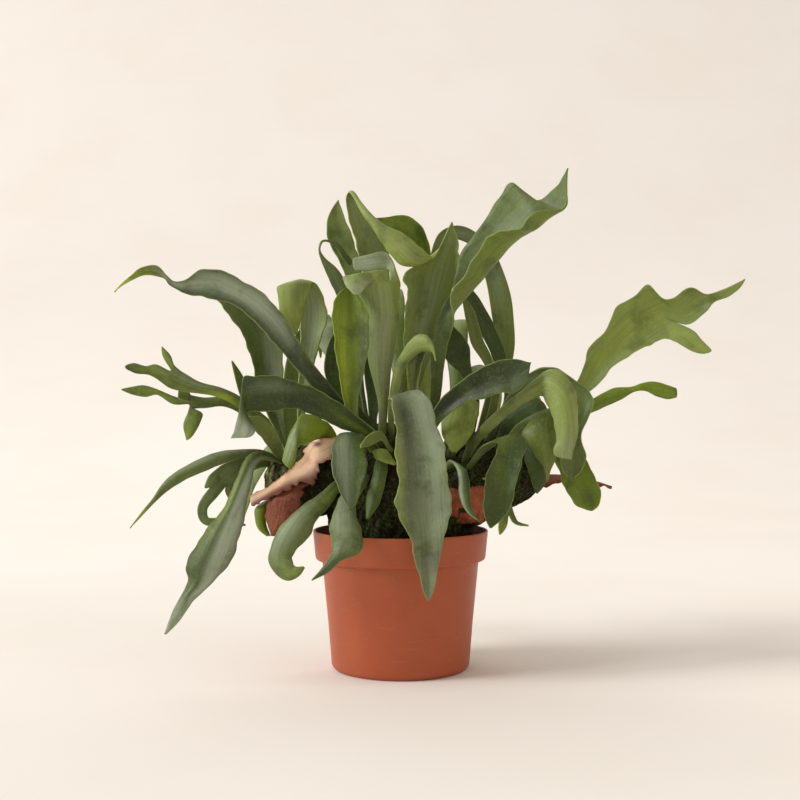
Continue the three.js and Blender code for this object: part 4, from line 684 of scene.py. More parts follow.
@dataclass(frozen=True)
class Frond:
    """One frond: a stalk sunk in the crown, a cupped and waved blade, and any lobes that it splits into.

    A row of four numbers is a place on the midrib and the width there. A row of nine is a place on the left
    edge, one on the midrib and one on the right edge, for a blade that folds, rolls or turns.
    """

    name: str
    tone: Tone
    wave: float
    ruffles: float
    rows: tuple
    cup: float = 20.0
    across: tuple = ()
    flat: bool = False
    root: float = ROOT_MM
    torn: float = 0.0
    prongs: tuple = ()
    patches: tuple = ()

    def columns(self) -> int:
        """Squares across the stalk and blade before any lobe."""
        return columns_of(self.rows, self.prongs, 2)

    def sides(self, rows: np.ndarray, start: np.ndarray) -> np.ndarray:
        """The direction across the blade at each row.

        A flat frond shows its face to the viewer all along. On any other, the direction is carried along
        the midrib by the smallest turn from one heading to the next.

        Args:
            rows: The rows of the strip.
            start: The direction at the first row.

        Returns:
            One direction for each row.
        """
        heading = headings(rows[:, :3])
        found = [unit(start - heading[0] * (start @ heading[0]))]
        for before, now in zip(heading[:-1], heading[1:]):
            side = found[-1]
            if self.flat:
                level = np.cross(TOWARDS_BACK, now)
                side = level if level @ side >= 0 else -level
            else:
                axis, cosine = np.cross(before, now), before @ now
                side = side * cosine + np.cross(axis, side) + axis * (axis @ side) / (1 + cosine)
            found.append(unit(side - now * (side @ now)))
        return np.array(found)

    def rings(self, rows: np.ndarray, start: np.ndarray, columns: int, ripple: float,
              phase: float) -> tuple[np.ndarray, np.ndarray, np.ndarray]:
        """Rings of points across a strip.

        Each ring is an arc of the row's width that curls by the cup angle. To that it adds a sine that runs
        along the strip and grows with the square of the distance from the midrib, a finer and weaker one, and
        a small random change of each half's width.

        Args:
            rows: The rows of the strip.
            start: The direction across at the first row.
            columns: Squares across.
            ripple: How much of the wave the strip takes.
            phase: Where the waves start.

        Returns:
            The rings' points, the distance of each point from the midrib and the half width at each ring.
        """
        if rows.shape[1] == 9:
            return self.traced_rings(rows, columns, ripple, phase)
        sides = self.sides(rows, start)
        fine = smooth_rows(np.hstack([rows, sides]), RINGS)
        heading = headings(fine[:, :3])
        side = unit(fine[:, 4:] - heading * (fine[:, 4:] * heading).sum(1, keepdims=True))
        facing = np.cross(side, heading)
        v = across_strip(columns)
        along = np.linspace(0, 1, len(fine))[:, None]
        left = v < 0
        half = np.maximum(fine[:, 3:4], TIP_MM) / 2
        turns = 2 * np.pi * along
        edge = 0.045 * np.sin(3.3 * turns + phase * 2 + left)
        edge = edge + 0.03 * np.sin(7.1 * turns + phase * 5 + 2 * left)
        half = half * (1 + edge * np.minimum(1, half / SCALLOPED_MM))
        curl = math.radians(self.cup)
        grip = np.minimum(1, half / WAVED_MM) * ripple
        wave = self.wave * v ** 2 * np.sin(self.ruffles * turns + phase + 1.9 * left)
        wave += 0.3 * self.wave * np.abs(v) ** 3 * np.sin(2.7 * self.ruffles * turns + 3 * phase + left)
        crease = -0.35 * np.exp(-(v / 0.14) ** 2) * np.minimum(1, half / WAVED_MM)
        out = half * np.sin(v * curl) / curl
        lift = half * (1 - np.cos(v * curl)) / curl + wave * grip + crease * math.copysign(1, self.cup)
        points = fine[:, None, :3] + out[..., None] * side[:, None] + lift[..., None] * facing[:, None]
        return points, v * half, half

    def traced_rings(self, rows: np.ndarray, columns: int, ripple: float,
                     phase: float) -> tuple[np.ndarray, np.ndarray, np.ndarray]:
        """Rings of points across a strip whose edges are given.

        With left edge L, midrib M and right edge R, a ring is M + v (R - L) / 2 + v^2 ((L + R) / 2 - M) for v
        from -1 to 1. The edges are scalloped by two sines along the strip, and a wave lifts them off the ring
        as on any other strip. A torn frond adds two random waves along the strip, coarse and fine, to the way
        out from the midrib: they grow with v^4, in full on the left edge and by 0.35 on the right.

        Args:
            rows: The rows of the strip.
            columns: Squares across.
            ripple: How much of the wave the strip takes.
            phase: Where the waves start.

        Returns:
            The rings' points, the distance of each point from the midrib and the half width at each ring.
        """
        fine = smooth_rows(rows, RINGS)
        left, middle, right = fine[:, :3], fine[:, 3:6], fine[:, 6:]
        side = unit(right - left)
        facing = unit(np.cross(side, headings(middle)))
        span = np.linalg.norm(right - middle, axis=1) + np.linalg.norm(left - middle, axis=1)
        half = np.maximum(span, TIP_MM)[:, None] / 2
        v = across_strip(columns)
        along = np.cumsum(np.concatenate([[0], np.linalg.norm(np.diff(middle, axis=0), axis=1)]))[:, None]
        turn = 2 * np.pi * along / SCALLOP_MM
        scallop = np.sin(turn + phase * 2 + (v < 0)) + 0.6 * np.sin(2.3 * turn + phase * 5 + 2 * (v < 0))
        grip = np.minimum(1, half / WAVED_MM) * ripple
        wave = v ** 2 * np.sin(turn * 0.55 + phase + 1.9 * (v < 0)) + 0.4 * np.abs(v) ** 3 * np.sin(
            turn * 1.4 + 3 * phase + (v < 0))
        line = np.hstack([along, np.zeros_like(along)])
        tear = waves(line + (0, 7), TEAR_MM, 5, 7) + 0.6 * waves(line, FINE_TEAR_MM, 9, 9)
        tear = tear[:, None] * np.where(v < 0, 1.0, 0.35)
        edge = 0.035 * scallop * np.abs(v) + self.torn * tear * v ** 4
        stretch = v * (1 + edge * np.minimum(1, half / SCALLOPED_MM))
        chord, bend = (right - left) / 2, (left + right) / 2 - middle
        points = middle[:, None] + stretch[..., None] * chord[:, None] + (v ** 2)[..., None] * bend[:, None]
        crease = -0.3 * np.exp(-(v / 0.12) ** 2)
        lift = 0.6 * self.wave * wave * grip + crease * grip
        return points + lift[..., None] * facing[:, None], v * half, half

    def grow(self, sheet: dict, strip: "Frond | Prong", rows: np.ndarray, columns: int, start: np.ndarray,
             reach: float, shared: np.ndarray | None = None) -> None:
        """Grows a strip and then its lobes into a sheet.

        A lobe starts on its share of the last ring of the strip that it leaves, and eases from that ring's
        shape into its own over its first row.

        Args:
            sheet: The points, squares and facts so far.
            strip: The frond or the lobe.
            rows: Its rows, with the row that it starts on.
            columns: Squares across.
            start: The direction across at the first row.
            reach: Length of the frond so far.
            shared: Numbers of the points that it starts on.
        """
        phase = self.phase + (0.0 if shared is None else 0.7 * float(rows[-1, 0] % 5))
        points, across, half = self.rings(rows, start, columns, 1.0 if shared is None else 0.5, phase)
        count, width = points.shape[:2]
        steps = np.linalg.norm(np.diff(points.mean(1), axis=0), axis=1)
        length = reach + np.concatenate([[0], np.cumsum(steps)])
        stalk = np.zeros(count)
        if shared is None:
            stalk = np.maximum(0, 1 - np.arange(count) / (count - 1) / STALK_PART)
        v = np.abs(across) / half
        thick = (BLADE_MM + (STALK_MM - BLADE_MM) * stalk[:, None]) * (1 - 0.5 * v ** 4)
        first = sum(len(block) for block in sheet["points"])
        ids = first + np.arange(count * width).reshape(count, width)
        if shared is not None:
            known = np.vstack(sheet["points"])[shared]
            fade = np.clip(np.arange(count) / RINGS, 0, 1)
            fade = 1 - fade * fade * (3 - 2 * fade)
            points = points + fade[:, None, None] * (known - points[0])[None]
            ids = np.vstack([shared, ids[1:] - width])
            points, across, half, thick, length = (part[1:] for part in (points, across, half, thick, length))
        sheet["points"].append(points.reshape(-1, 3))
        found = {"across": across, "half": half, "length": length[:, None], "thick": thick}
        for key, values in found.items():
            sheet[key].append(np.broadcast_to(values, across.shape).ravel())
        sheet["quads"].append(grid_faces(ids))
        every = np.vstack(sheet["points"])
        low = 0
        for prong in strip.prongs:
            high = low + prong.columns() * COLUMNS
            share = ids[-1, low:high + 1]
            left, right = every[share[0]], every[share[-1]]
            row = [*((left + right) / 2), np.linalg.norm(right - left)]
            if rows.shape[1] == 9:
                row = [*left, *every[share[len(share) // 2]], *right]
            self.grow(sheet, prong, np.array([row, *prong.rows], float), prong.columns(), unit(right - left),
                      float(length[-1]), share)
            low = high

    @property
    def phase(self) -> float:
        """Where this frond's waves start, the same as on the part."""
        return 1.7 * ORDER[self.name]

    def surface(self) -> Surface:
        """Builds the frond.

        Returns:
            The closed surface with what its material reads: blade (millimetres across and along), reach,
            margin, side, and the strength of each kind of patch.
        """
        rows = np.array(self.rows, float)
        rib = slice(3, 6) if rows.shape[1] == 9 else slice(0, 3)
        heading = unit(rows[1, rib] - rows[0, rib])
        foot = rows[:1].copy()
        foot[0, :rows.shape[1] // 3 * 3] -= np.tile(heading, rows.shape[1] // 3) * self.root
        rows = np.vstack([foot, rows])
        start = np.array(self.across, float) if self.across else np.cross(TOWARDS_BACK, heading)
        sheet = {key: [] for key in ("points", "across", "half", "length", "thick", "quads")}
        self.grow(sheet, self, rows, self.columns(), start, 0.0)
        quads = np.vstack(sheet.pop("quads"))
        points = np.vstack(sheet.pop("points"))
        across, half, length, thick = (
            np.concatenate(sheet[key]) for key in ("across", "half", "length", "thick"))
        if self.prongs:
            points = relaxed(points, quads, 4)
        reach = length / length.max()
        blade = np.stack([across, length, np.full_like(length, VEINS_ON_MM * ORDER[self.name])], -1) * MM
        facts = {"blade": blade, "reach": reach, "margin": half - np.abs(across)}
        for kind in PAINTED_LIGHT_TINTS:
            facts[kind] = np.zeros_like(reach)
        for patch in self.patches:
            along = (reach - patch.reach) / patch.sizes[0]
            aside = (across / half - patch.across) / patch.sizes[1]
            strength = patch.strength * np.exp(-(along ** 2 + aside ** 2))
            facts[patch.kind] = np.maximum(facts[patch.kind], strength)
        return thickened(points, quads, thick, facts)


# Every frond's rows in millimetres, from its foot to its tip: left edge, midrib and right edge of the blade,
# or the midrib and the width
# Each frond's patches paint light on it: painted shade, painted silver highlights and a partly painted
# yellow-green
FRONDS = (
    Frond("front_hanging", Tone.SILVER, wave=2, ruffles=4, patches=(
        Patch("silver", 0.6, -0.5, (0.5, 0.5), 0.4), Patch("shade", 0.5, 0.5, (0.4, 0.4), 0.5),
        Patch("shade", 0.9, 0.2, (0.15, 1), 0.35), Patch("tint", 0.62, 0.85, (0.22, 0.3), 0.4),), rows=(
        (4, -12, 146.5, 1, -12, 146.5, -1.5, -12, 146.5), (5, -26, 169.5, 1, -27, 169.5, -3, -26, 169.5),
        (8.5, -47, 189, 1, -46, 187.5, -7, -47, 185.5), (11.5, -58, 192, 2.5, -56, 190, -8, -59, 188),
        (19, -69, 185, 6, -66, 185, -6, -70, 184.5), (23, -76, 171.5, 9.5, -73, 171, -3, -77, 170.5),
        (27.5, -79, 156.5, 12.5, -75, 156, -3, -80, 156),
        (29.5, -81, 143, 13.5, -77, 142.5, -2.5, -82, 142),
        (29.5, -82, 135, 14.5, -79, 133, -0.5, -83, 131.5), (33, -83, 122, 15, -79, 121.5, -4, -84, 121.5),
        (30, -82, 110.5, 16, -79, 109.5, 0.5, -83, 110), (28, -81, 99.5, 17, -79, 99.5, 6, -82, 99.5),
        (25, -80, 86.5, 17, -79, 86.5, 8.5, -81, 87), (23, -80, 74.5, 17.5, -79, 74.5, 12, -80, 74.5),
        (21, -79, 65, 18, -78.5, 64.5, 14.5, -79, 64.5), (18, -78, 59, 17.5, -78, 58.5, 17, -78, 59),)),
    Frond("front_left_short", Tone.DEEP, wave=1, ruffles=3, patches=(
        Patch("silver", 0.75, 0.4, (0.3, 0.6), 0.6), Patch("tint", 0.5, -0.6, (0.25, 0.4), 0.25),
        Patch("silver", 0.3, 0.7, (0.2, 0.3), 0.3),), rows=(
        (-8.5, -12, 142.5, -10.5, -12, 142.5, -13, -12, 142.5),
        (-16.5, -27, 156.5, -19.5, -26, 158, -22, -27, 158.5),
        (-24.5, -40, 159.5, -31, -40, 163.5, -38.5, -41, 164.5),
        (-22.5, -50, 151.5, -33.5, -49, 156.5, -45, -50, 156),
        (-22, -57, 143, -33, -54, 145.5, -45, -57, 145), (-25, -62, 132, -33, -59, 133, -42.5, -62, 134.5),
        (-28, -65, 121, -32.5, -64, 121.5, -37, -65, 122.5),
        (-31.5, -67, 116, -32.5, -67, 115.5, -33.5, -67, 116),)),
    Frond("front_left_folded", Tone.GREY, wave=1, ruffles=2, patches=(
        Patch("silver", 0.5, 0.2, (0.3, 0.9), 0.55), Patch("shade", 0.88, 0.2, (0.2, 1), 0.6),), rows=(
        (-19.5, -22, 136, -21, -22, 136, -22, -22, 136),
        (-23, -42, 129, -26.5, -42, 130.5, -29.5, -42, 132),
        (-28, -54, 121, -33, -55, 123, -38.5, -54, 124), (-29, -61, 111, -35, -64, 113, -43, -61, 114),
        (-25, -66, 101.5, -34.5, -70, 103, -45.5, -66, 103),
        (-24, -69, 92, -33.5, -73, 94, -44.5, -69, 94.5),
        (-28, -72, 87.5, -36.5, -75, 88, -44.5, -72, 87.5), (-38, -74, 83.5, -43, -76, 83, -47.5, -74, 82),
        (-46, -76, 76.5, -48.5, -77, 77, -51.5, -76, 77.5),
        (-56, -76, 71.5, -56.5, -76, 71.5, -56.5, -76, 72),)),
    Frond("front_left_curled", Tone.GREY, wave=1, ruffles=2, patches=(
        Patch("silver", 0.65, 0.3, (0.2, 0.8), 0.55), Patch("tint", 0.38, -0.3, (0.2, 0.5), 0.4),
        Patch("tint", 0.92, 0, (0.12, 1), 0.25), Patch("shade", 0.5, 0.9, (0.3, 0.3), 0.5),), rows=(
        (-30.5, -20, 132, -32, -20, 133, -33, -20, 134.5),
        (-39, -40, 127.5, -41, -40, 130.5, -43, -40, 132.5),
        (-47, -50, 116.5, -51, -52, 120.5, -55.5, -50, 122.5),
        (-55, -57, 107.5, -62, -60, 112, -68, -57, 114),
        (-59.5, -61, 97.5, -69, -65, 102.5, -77.5, -61, 104),
        (-66.5, -64, 90, -74.5, -68, 93, -83, -64, 94), (-70, -67, 85.5, -76.5, -70, 85, -85, -66, 83.5),
        (-69.5, -70, 83, -75, -72, 79.5, -80, -68, 74.5),
        (-68, -72, 80.5, -70.5, -73, 75.5, -72, -71, 70.5),
        (-66, -73, 79.5, -65.5, -74, 77, -65, -73, 73.5),
        (-62, -73.5, 80, -61.5, -73.5, 79.5, -61, -73.5, 79),)),
    Frond("long_left", Tone.DEEP, wave=1.2, ruffles=5, patches=(
        Patch("silver", 0.66, 0.15, (0.26, 0.9), 0.95), Patch("silver", 0.86, 0, (0.08, 1), 0.4),
        Patch("tint", 1, 0, (0.15, 2), 1), Patch("shade", 0.12, 0, (0.34, 1), 0.75),), rows=(
        (-17, -5, 156, -16, -5, 157.5, -15, -5, 158.5),
        (-38.5, -10, 174.5, -35.5, -9, 177, -33.5, -10, 179.5),
        (-57.5, -14, 192, -54, -13, 195.5, -50, -14, 199),
        (-67.5, -17, 203.5, -64.5, -15, 208, -60.5, -17, 212),
        (-77.5, -19, 215, -73.5, -17, 220.5, -69.5, -20, 226),
        (-89, -22, 228.5, -84, -19, 235.5, -78, -23, 241),
        (-99.5, -24, 240, -94, -21, 247, -86.5, -26, 252),
        (-110, -26, 249, -104.5, -22, 255.5, -96.5, -28, 261),
        (-121, -27, 253.5, -115.5, -23, 260.5, -107.5, -30, 267),
        (-132.5, -28, 256, -127.5, -24, 264.5, -120.5, -31, 273.5),
        (-142.5, -29, 257.5, -138.5, -26, 264.5, -134.5, -31, 274.5),
        (-150, -30, 260.5, -147.5, -29, 263, -144.5, -31, 267.5),
        (-156, -31, 264, -154.5, -31, 265.5, -152.5, -31, 266.5),
        (-159, -32, 268, -158.5, -32, 269, -157.5, -32, 270.5),
        (-165, -33, 270, -165, -31, 273.5, -164, -34, 276.5),
        (-172.5, -35, 270, -174, -33, 273, -174, -35, 275),
        (-180, -36, 266.5, -180.5, -36, 268, -181, -36, 269.5),
        (-186.5, -37, 262.5, -187, -37, 263, -187.5, -37, 263.5),
        (-191, -38, 258.5, -191, -38, 258.5, -191.5, -38, 258.5),)),
    Frond("dark_left", Tone.DEEP, wave=1, ruffles=3, patches=(
        Patch("silver", 0.97, 0, (0.07, 2), 1), Patch("silver", 0.7, 0.4, (0.15, 0.5), 0.3),
        Patch("tint", 0.3, -0.2, (0.16, 0.5), 0.4), Patch("shade", 0.55, -0.4, (0.25, 0.7), 0.6),), rows=(
        (-8.5, -12, 149, -6.5, -12, 151.5, -4.5, -12, 153.5),
        (-26, -22, 161, -23.5, -21, 165.5, -21, -22, 168.5),
        (-41, -27, 167.5, -36.5, -26, 174, -33, -28, 178.5),
        (-54, -32, 174, -49.5, -30, 182.5, -46, -33, 187.5),
        (-65.5, -36, 179, -61.5, -34, 188.5, -58.5, -37, 194.5),
        (-76.5, -39, 180.5, -74, -37, 191, -71.5, -40, 199),
        (-88, -41, 178.5, -87, -39, 191, -85.5, -42, 202.5),
        (-97.5, -43, 178.5, -97, -41, 190.5, -96.5, -43, 202.5),
        (-102.5, -45, 178.5, -102.5, -44, 189, -104, -44, 201.5),
        (-99.5, -47, 173.5, -104, -48, 181.5, -105.5, -46, 189.5),
        (-96, -47, 167, -103.5, -48, 173, -107.5, -47, 176.5),
        (-99.5, -46, 162, -106, -46, 166, -110, -46, 166),
        (-110.5, -45, 161, -111.5, -45, 161, -112.5, -45, 161),)),
    Frond("left_drooping", Tone.DEEP, wave=1, ruffles=3, patches=(
        Patch("silver", 0.6, -0.5, (0.45, 0.5), 1), Patch("silver", 0.95, 0, (0.12, 2), 0.9),
        Patch("tint", 0.42, 0.6, (0.25, 0.5), 0.4),), rows=(
        (-81, -20, 142.5, -81, -20, 144, -81, -20, 145.5),
        (-91, -34, 146.5, -91.5, -35, 149, -92.5, -34, 151),
        (-96, -42, 143, -98.5, -44, 146, -101.5, -42, 148.5),
        (-98, -48, 133.5, -103.5, -50, 133.5, -108.5, -48, 133.5),
        (-101, -52, 119.5, -109, -56, 119, -114.5, -51, 118),
        (-103.5, -55, 103, -116, -60, 102.5, -127, -53, 101.5),
        (-107.5, -57, 89, -121.5, -63, 89, -135, -55, 89),
        (-113.5, -59, 77, -125.5, -65, 79, -139.5, -57, 78),
        (-124, -60, 66, -130, -65, 67.5, -139, -58, 67.5),
        (-133, -60, 57.5, -137, -63, 59.5, -143, -59, 58),
        (-137, -60, 52.5, -140.5, -62, 52, -147, -60, 51.5),
        (-144, -60, 42.5, -146.5, -61, 43, -150.5, -60, 42.5),
        (-152, -60, 34, -153, -60, 34, -153.5, -60, 34),)),
    Frond("left_arching", Tone.GREY, wave=0.6, ruffles=3, patches=(
        Patch("silver", 0.5, 0.5, (0.3, 0.5), 0.5), Patch("tint", 0.95, 0, (0.15, 2), 0.5),), rows=(
        (-79, -10, 141.5, -79, -10, 143, -79, -10, 144.5),
        (-94.5, -20, 146, -94.5, -21, 149, -94.5, -20, 152),
        (-108.5, -27, 147, -110, -29, 150, -111.5, -27, 152.5),
        (-122, -33, 142.5, -124, -35, 147, -126, -33, 150.5),
        (-134, -37, 137.5, -136.5, -39, 141.5, -140, -37, 144),
        (-144.5, -40, 132.5, -147.5, -42, 136, -151, -40, 137.5),
        (-154, -43, 126.5, -156, -44, 128.5, -158.5, -43, 130),
        (-163, -44, 118.5, -164, -45, 119.5, -165, -44, 120),
        (-171.5, -46, 109, -172.5, -46, 109.5, -173, -46, 110),
        (-179, -46, 101.5, -179, -46, 101.5, -179, -46, 102),)),
    Frond("left_cut", Tone.GREY, cup=15, wave=0.5, ruffles=2, flat=True, patches=(
        Patch("silver", 0.6, 0.3, (0.3, 0.6), 0.3), Patch("tint", 0.9, 0, (0.15, 1), 0.3),), rows=(
        (-80, -3, 140, 5), (-96, -12, 144, 8), (-110, -20, 140, 14), (-120, -26, 132, 19),), prongs=(
        Prong(rows=(
                (-116, -27, 125, 6), (-115, -28, 118, 1.5),)),
        Prong(rows=(
                (-127, -31, 123, 8), (-133, -34, 114, 7), (-130, -36, 105, 6), (-117, -35, 105, 5),
                (-104, -32, 102, 1.5),)),
        Prong(rows=(
                (-127, -29, 132, 8), (-132, -31, 127, 1.5),)),)),
    Frond("left_antler_high", Tone.GREY, wave=0.5, ruffles=2, patches=(
        Patch("tint", 0.5, -0.5, (0.14, 0.7), 0.7), Patch("tint", 0.85, 0, (0.12, 0.9), 0.4),
        Patch("silver", 0.7, 0.5, (0.2, 0.5), 0.4),), rows=(
        (-82.5, -4, 145.5, -81, -4, 146, -80, -4, 147), (-98.5, -12, 166, -96.5, -12, 168, -94, -12, 170),
        (-111.5, -18, 181.5, -109.5, -18, 184.5, -107, -18, 187),
        (-124.5, -22, 188.5, -123, -23, 192, -121.5, -22, 194.5),
        (-137.5, -25, 191, -136.5, -27, 194.5, -136, -25, 198.5),
        (-149, -28, 192.5, -147, -30, 198.5, -146.5, -28, 204.5),
        (-157, -30, 194.5, -154.5, -32, 202, -153, -30, 210),), prongs=(
        Prong(rows=(
            (-164, -32, 200.5, -164, -34, 205, -164.5, -32, 210.5),
            (-169.5, -34, 203.5, -170, -35, 206.5, -171, -34, 209),
            (-176.5, -36, 204, -177, -37, 207, -178, -36, 211),
            (-181.5, -37, 206, -182.5, -37, 208, -181.5, -37, 210.5),
            (-183, -38, 207.5, -184, -38, 208.5, -183, -38, 209.5),)),
        Prong(rows=(
            (-160, -31, 215.5, -158, -32, 215.5, -155, -31, 216.5),
            (-161, -32, 222.5, -160.5, -32, 222.5, -160.5, -32, 222.5),)),)),
    Frond("left_antler_low", Tone.GREY, wave=0.5, ruffles=2, patches=(
        Patch("tint", 0.85, 0, (0.16, 1), 0.5), Patch("tint", 0.45, 0.3, (0.12, 0.7), 0.55),
        Patch("shade", 0.6, -0.5, (0.1, 0.6), 0.3),), rows=(
        (-84, 4, 143.5, -82.5, 4, 144.5, -81, 4, 145), (-97, -1, 161.5, -95.5, -1, 163.5, -94, -1, 165.5),
        (-109.5, -5, 175.5, -108, -5, 178, -107, -5, 181), (-122, -9, 182, -122, -10, 185, -122, -9, 188.5),
        (-134, -12, 181, -134.5, -13, 184.5, -135.5, -12, 188),
        (-144, -14, 180.5, -144.5, -16, 185, -145, -14, 190),), prongs=(
        Prong(rows=(
            (-136, -14, 177, -140.5, -15, 177, -147, -14, 176),
            (-138, -15, 170, -144, -16, 170, -149.5, -15, 170),
            (-142.5, -15, 162.5, -145, -16, 161.5, -148, -15, 162.5),
            (-146.5, -15, 159, -147, -15, 159, -147, -15, 159),)),
        Prong(rows=(
            (-156, -17, 183.5, -156, -18, 186.5, -155.5, -17, 189),
            (-166, -19, 190, -165.5, -20, 192, -166, -19, 193.5),
            (-173.5, -21, 188.5, -175, -22, 192.5, -174.5, -21, 196.5),
            (-182, -23, 190, -182.5, -24, 192.5, -182, -23, 195.5),
            (-189.5, -25, 193, -190, -25, 193.5, -189.5, -25, 194),)),
        Prong(rows=(
            (-145.5, -21, 185.5, -146, -18, 190, -145, -21, 194),
            (-151.5, -23, 187, -152, -20, 190.5, -151, -23, 194),)),)),
    Frond("left_slender", Tone.OLIVE, cup=15, wave=0.3, ruffles=2, rows=(
        (-77, 18, 146, 8), (-79, 20, 156, 10)), prongs=(
        Prong(rows=(
                (-95, 24, 170, 5), (-110, 24, 183, 5), (-115, 22, 200, 7), (-121, 20, 215, 1.2))),
        Prong(rows=(
                (-79, 22, 182, 13), (-75, 24, 210, 16), (-72, 24, 230, 10), (-68, 24, 242, 1.5))))),
    Frond("left_olive", Tone.OLIVE, cup=15, wave=0.3, ruffles=2, rows=(
        (-80, -14, 142, 5), (-87, -23, 159, 10), (-95, -29, 170, 11), (-103, -33, 175, 1.5),)),
    Frond("left_back_tall", Tone.GREY, wave=0.8, ruffles=3, patches=(
        Patch("silver", 0.6, 0.3, (0.3, 0.6), 0.5), Patch("shade", 0.3, -0.4, (0.3, 0.5), 0.3),), rows=(
        (-79.5, 10, 145.5, -78.5, 10, 145.5, -76, 10, 145.5),
        (-90, 12, 166.5, -85.5, 13, 166.5, -81.5, 12, 166.5),
        (-98.5, 12, 186.5, -91.5, 16, 186.5, -83.5, 12, 186.5),
        (-102.5, 10, 202, -94.5, 16, 202.5, -83.5, 12, 203.5),
        (-106, 9, 217.5, -96, 16, 218, -83.5, 12, 219), (-111, 7, 231.5, -98.5, 15, 233, -84.5, 11, 233.5),
        (-118.5, 5, 243.5, -104, 12, 245, -88, 10, 245.5), (-125.5, 4, 252, -110.5, 9, 253, -95, 9, 254),
        (-129, 4, 257, -117.5, 7, 258, -106.5, 8, 258),)),
    Frond("left_arch", Tone.PALE, wave=0.8, ruffles=3, patches=(
        Patch("silver", 0.55, -0.1, (0.3, 0.9), 0.6), Patch("silver", 0.4, 0.6, (0.4, 0.5), 0.4),
        Patch("tint", 0.45, -0.8, (0.25, 0.3), 0.25), Patch("shade", 0.85, 0.4, (0.08, 0.5), 0.5),
        Patch("shade", 0.2, 0, (0.15, 1), 0.3),), rows=(
        (-72.5, 2, 150, -71, 2, 150, -70, 2, 150), (-72.5, 6, 186.5, -69.5, 7, 186.5, -66, 6, 186.5),
        (-71, 8, 222, -65, 10, 222, -58.5, 8, 222), (-70.5, 8, 243, -61.5, 11, 243.5, -52, 8, 243),
        (-71, 6, 259, -62.5, 9, 260, -54, 7, 258), (-74.5, 1, 268, -67, 3, 270, -59.5, 4, 268),
        (-84.5, -7, 265, -75, -9, 267, -62.5, -4, 267.5), (-84.5, -10, 255.5, -76, -12, 256, -65, -8, 257),
        (-82.5, -11, 244.5, -75.5, -13, 244.5, -68, -10, 245),
        (-73.5, -11, 232.5, -72.5, -11, 231.5, -71.5, -11, 232.5),)),
    Frond("loop", Tone.GREY, wave=0.6, ruffles=3, patches=(
        Patch("silver", 0.5, 0, (0.3, 0.9), 0.4),), rows=(
        (-24.5, 10, 167.5, -23, 10, 167.5, -21.5, 10, 167.5),
        (-34.5, 14, 222, -32.5, 14, 222, -30, 14, 222), (-44.5, 16, 258, -40.5, 17, 258, -36, 16, 258.5),
        (-51.5, 14, 273.5, -47.5, 14, 275.5, -43, 14, 277.5),
        (-56, 11, 284.5, -54.5, 11, 286, -53, 11, 287), (-58, 9, 292, -57.5, 9, 292.5, -56.5, 9, 292.5),
        (-56.5, 10, 299, -55.5, 10, 298.5, -55, 10, 298), (-51, 13, 300.5, -51, 13, 299.5, -51, 13, 298.5),
        (-44, 17, 298.5, -44.5, 17, 296.5, -45.5, 17, 294.5),
        (-38.5, 20, 292, -40, 20, 290, -41, 20, 287.5), (-33.5, 22, 285.5, -35, 22, 284.5, -37, 22, 283),)),
    Frond("pale_pointed", Tone.PALE, wave=0.8, ruffles=3, patches=(
        Patch("silver", 0.6, -0.2, (0.4, 0.8), 0.4), Patch("shade", 0.3, 0.4, (0.12, 0.5), 0.2),), rows=(
        (-20.5, 22, 168.5, -19, 22, 168.5, -17.5, 22, 168.5),
        (-23.5, 31, 208.5, -20.5, 31, 208.5, -18, 31, 208.5),
        (-31, 35, 252.5, -27.5, 36, 254, -23, 35, 255), (-41, 32, 279.5, -35.5, 33, 282.5, -29.5, 32, 287),
        (-49, 30, 295.5, -41, 33, 298, -33, 31, 298.5),
        (-53.5, 28, 307.5, -45.5, 31, 309.5, -36.5, 29, 309),
        (-52.5, 27, 318, -46.5, 29, 319, -40.5, 28, 319), (-48.5, 26, 326, -46, 27, 327, -43, 27, 326),
        (-45.5, 26, 330.5, -45, 26, 331, -45, 26, 330.5),)),
    Frond("hairpin", Tone.PALE, wave=0.6, ruffles=3, patches=(
        Patch("silver", 0.75, 0, (0.3, 1), 0.35), Patch("shade", 0.5, 0.6, (0.12, 0.4), 0.35),
        Patch("shade", 0.95, 0.3, (0.06, 0.6), 0.4),), rows=(
        (-13, 14, 169, -11, 14, 169, -9.5, 14, 169), (-17, 20, 208, -13.5, 20, 208, -9.5, 20, 208),
        (-23.5, 24, 258.5, -16, 25, 258.5, -8.5, 24, 258.5),
        (-30.5, 20, 294, -20.5, 24, 294.5, -9, 22, 294.5),
        (-34.5, 16, 308, -27.5, 21, 308.5, -18.5, 20, 308.5),
        (-37.5, 12, 320, -32.5, 16, 321.5, -26, 16, 320.5),
        (-38.5, 8, 328, -34.5, 11, 330.5, -29.5, 12, 328), (-36, 3, 332.5, -33.5, 4, 333, -30, 6, 329.5),
        (-32.5, -2, 327, -29, -2, 326, -26.5, 1, 323), (-27, -5, 316.5, -22.5, -7, 316.5, -19, -3, 314.5),
        (-20.5, -7, 307.5, -15, -10, 307, -11, -6, 308), (-14, -8, 297.5, -6, -11, 297.5, -0.5, -8, 303),
        (-7.5, -8, 287.5, 3, -12, 290, 8, -9, 297.5), (1.5, -8, 280, 10, -11, 284, 14, -9, 291.5),
        (12, -7, 279.5, 16.5, -9, 283.5, 19, -8, 287.5), (21, -6, 284.5, 22, -6, 285, 22, -6, 286),)),
    Frond("dark_arch", Tone.BRIGHT, wave=0.8, ruffles=3, patches=(
        Patch("shade", 0.8, 0.4, (0.1, 0.4), 0.3),), rows=(
        (-1, 26, 168.5, 1, 26, 168.5, 3, 26, 168.5), (7.5, 38, 208.5, 10.5, 38, 208.5, 13.5, 38, 208.5),
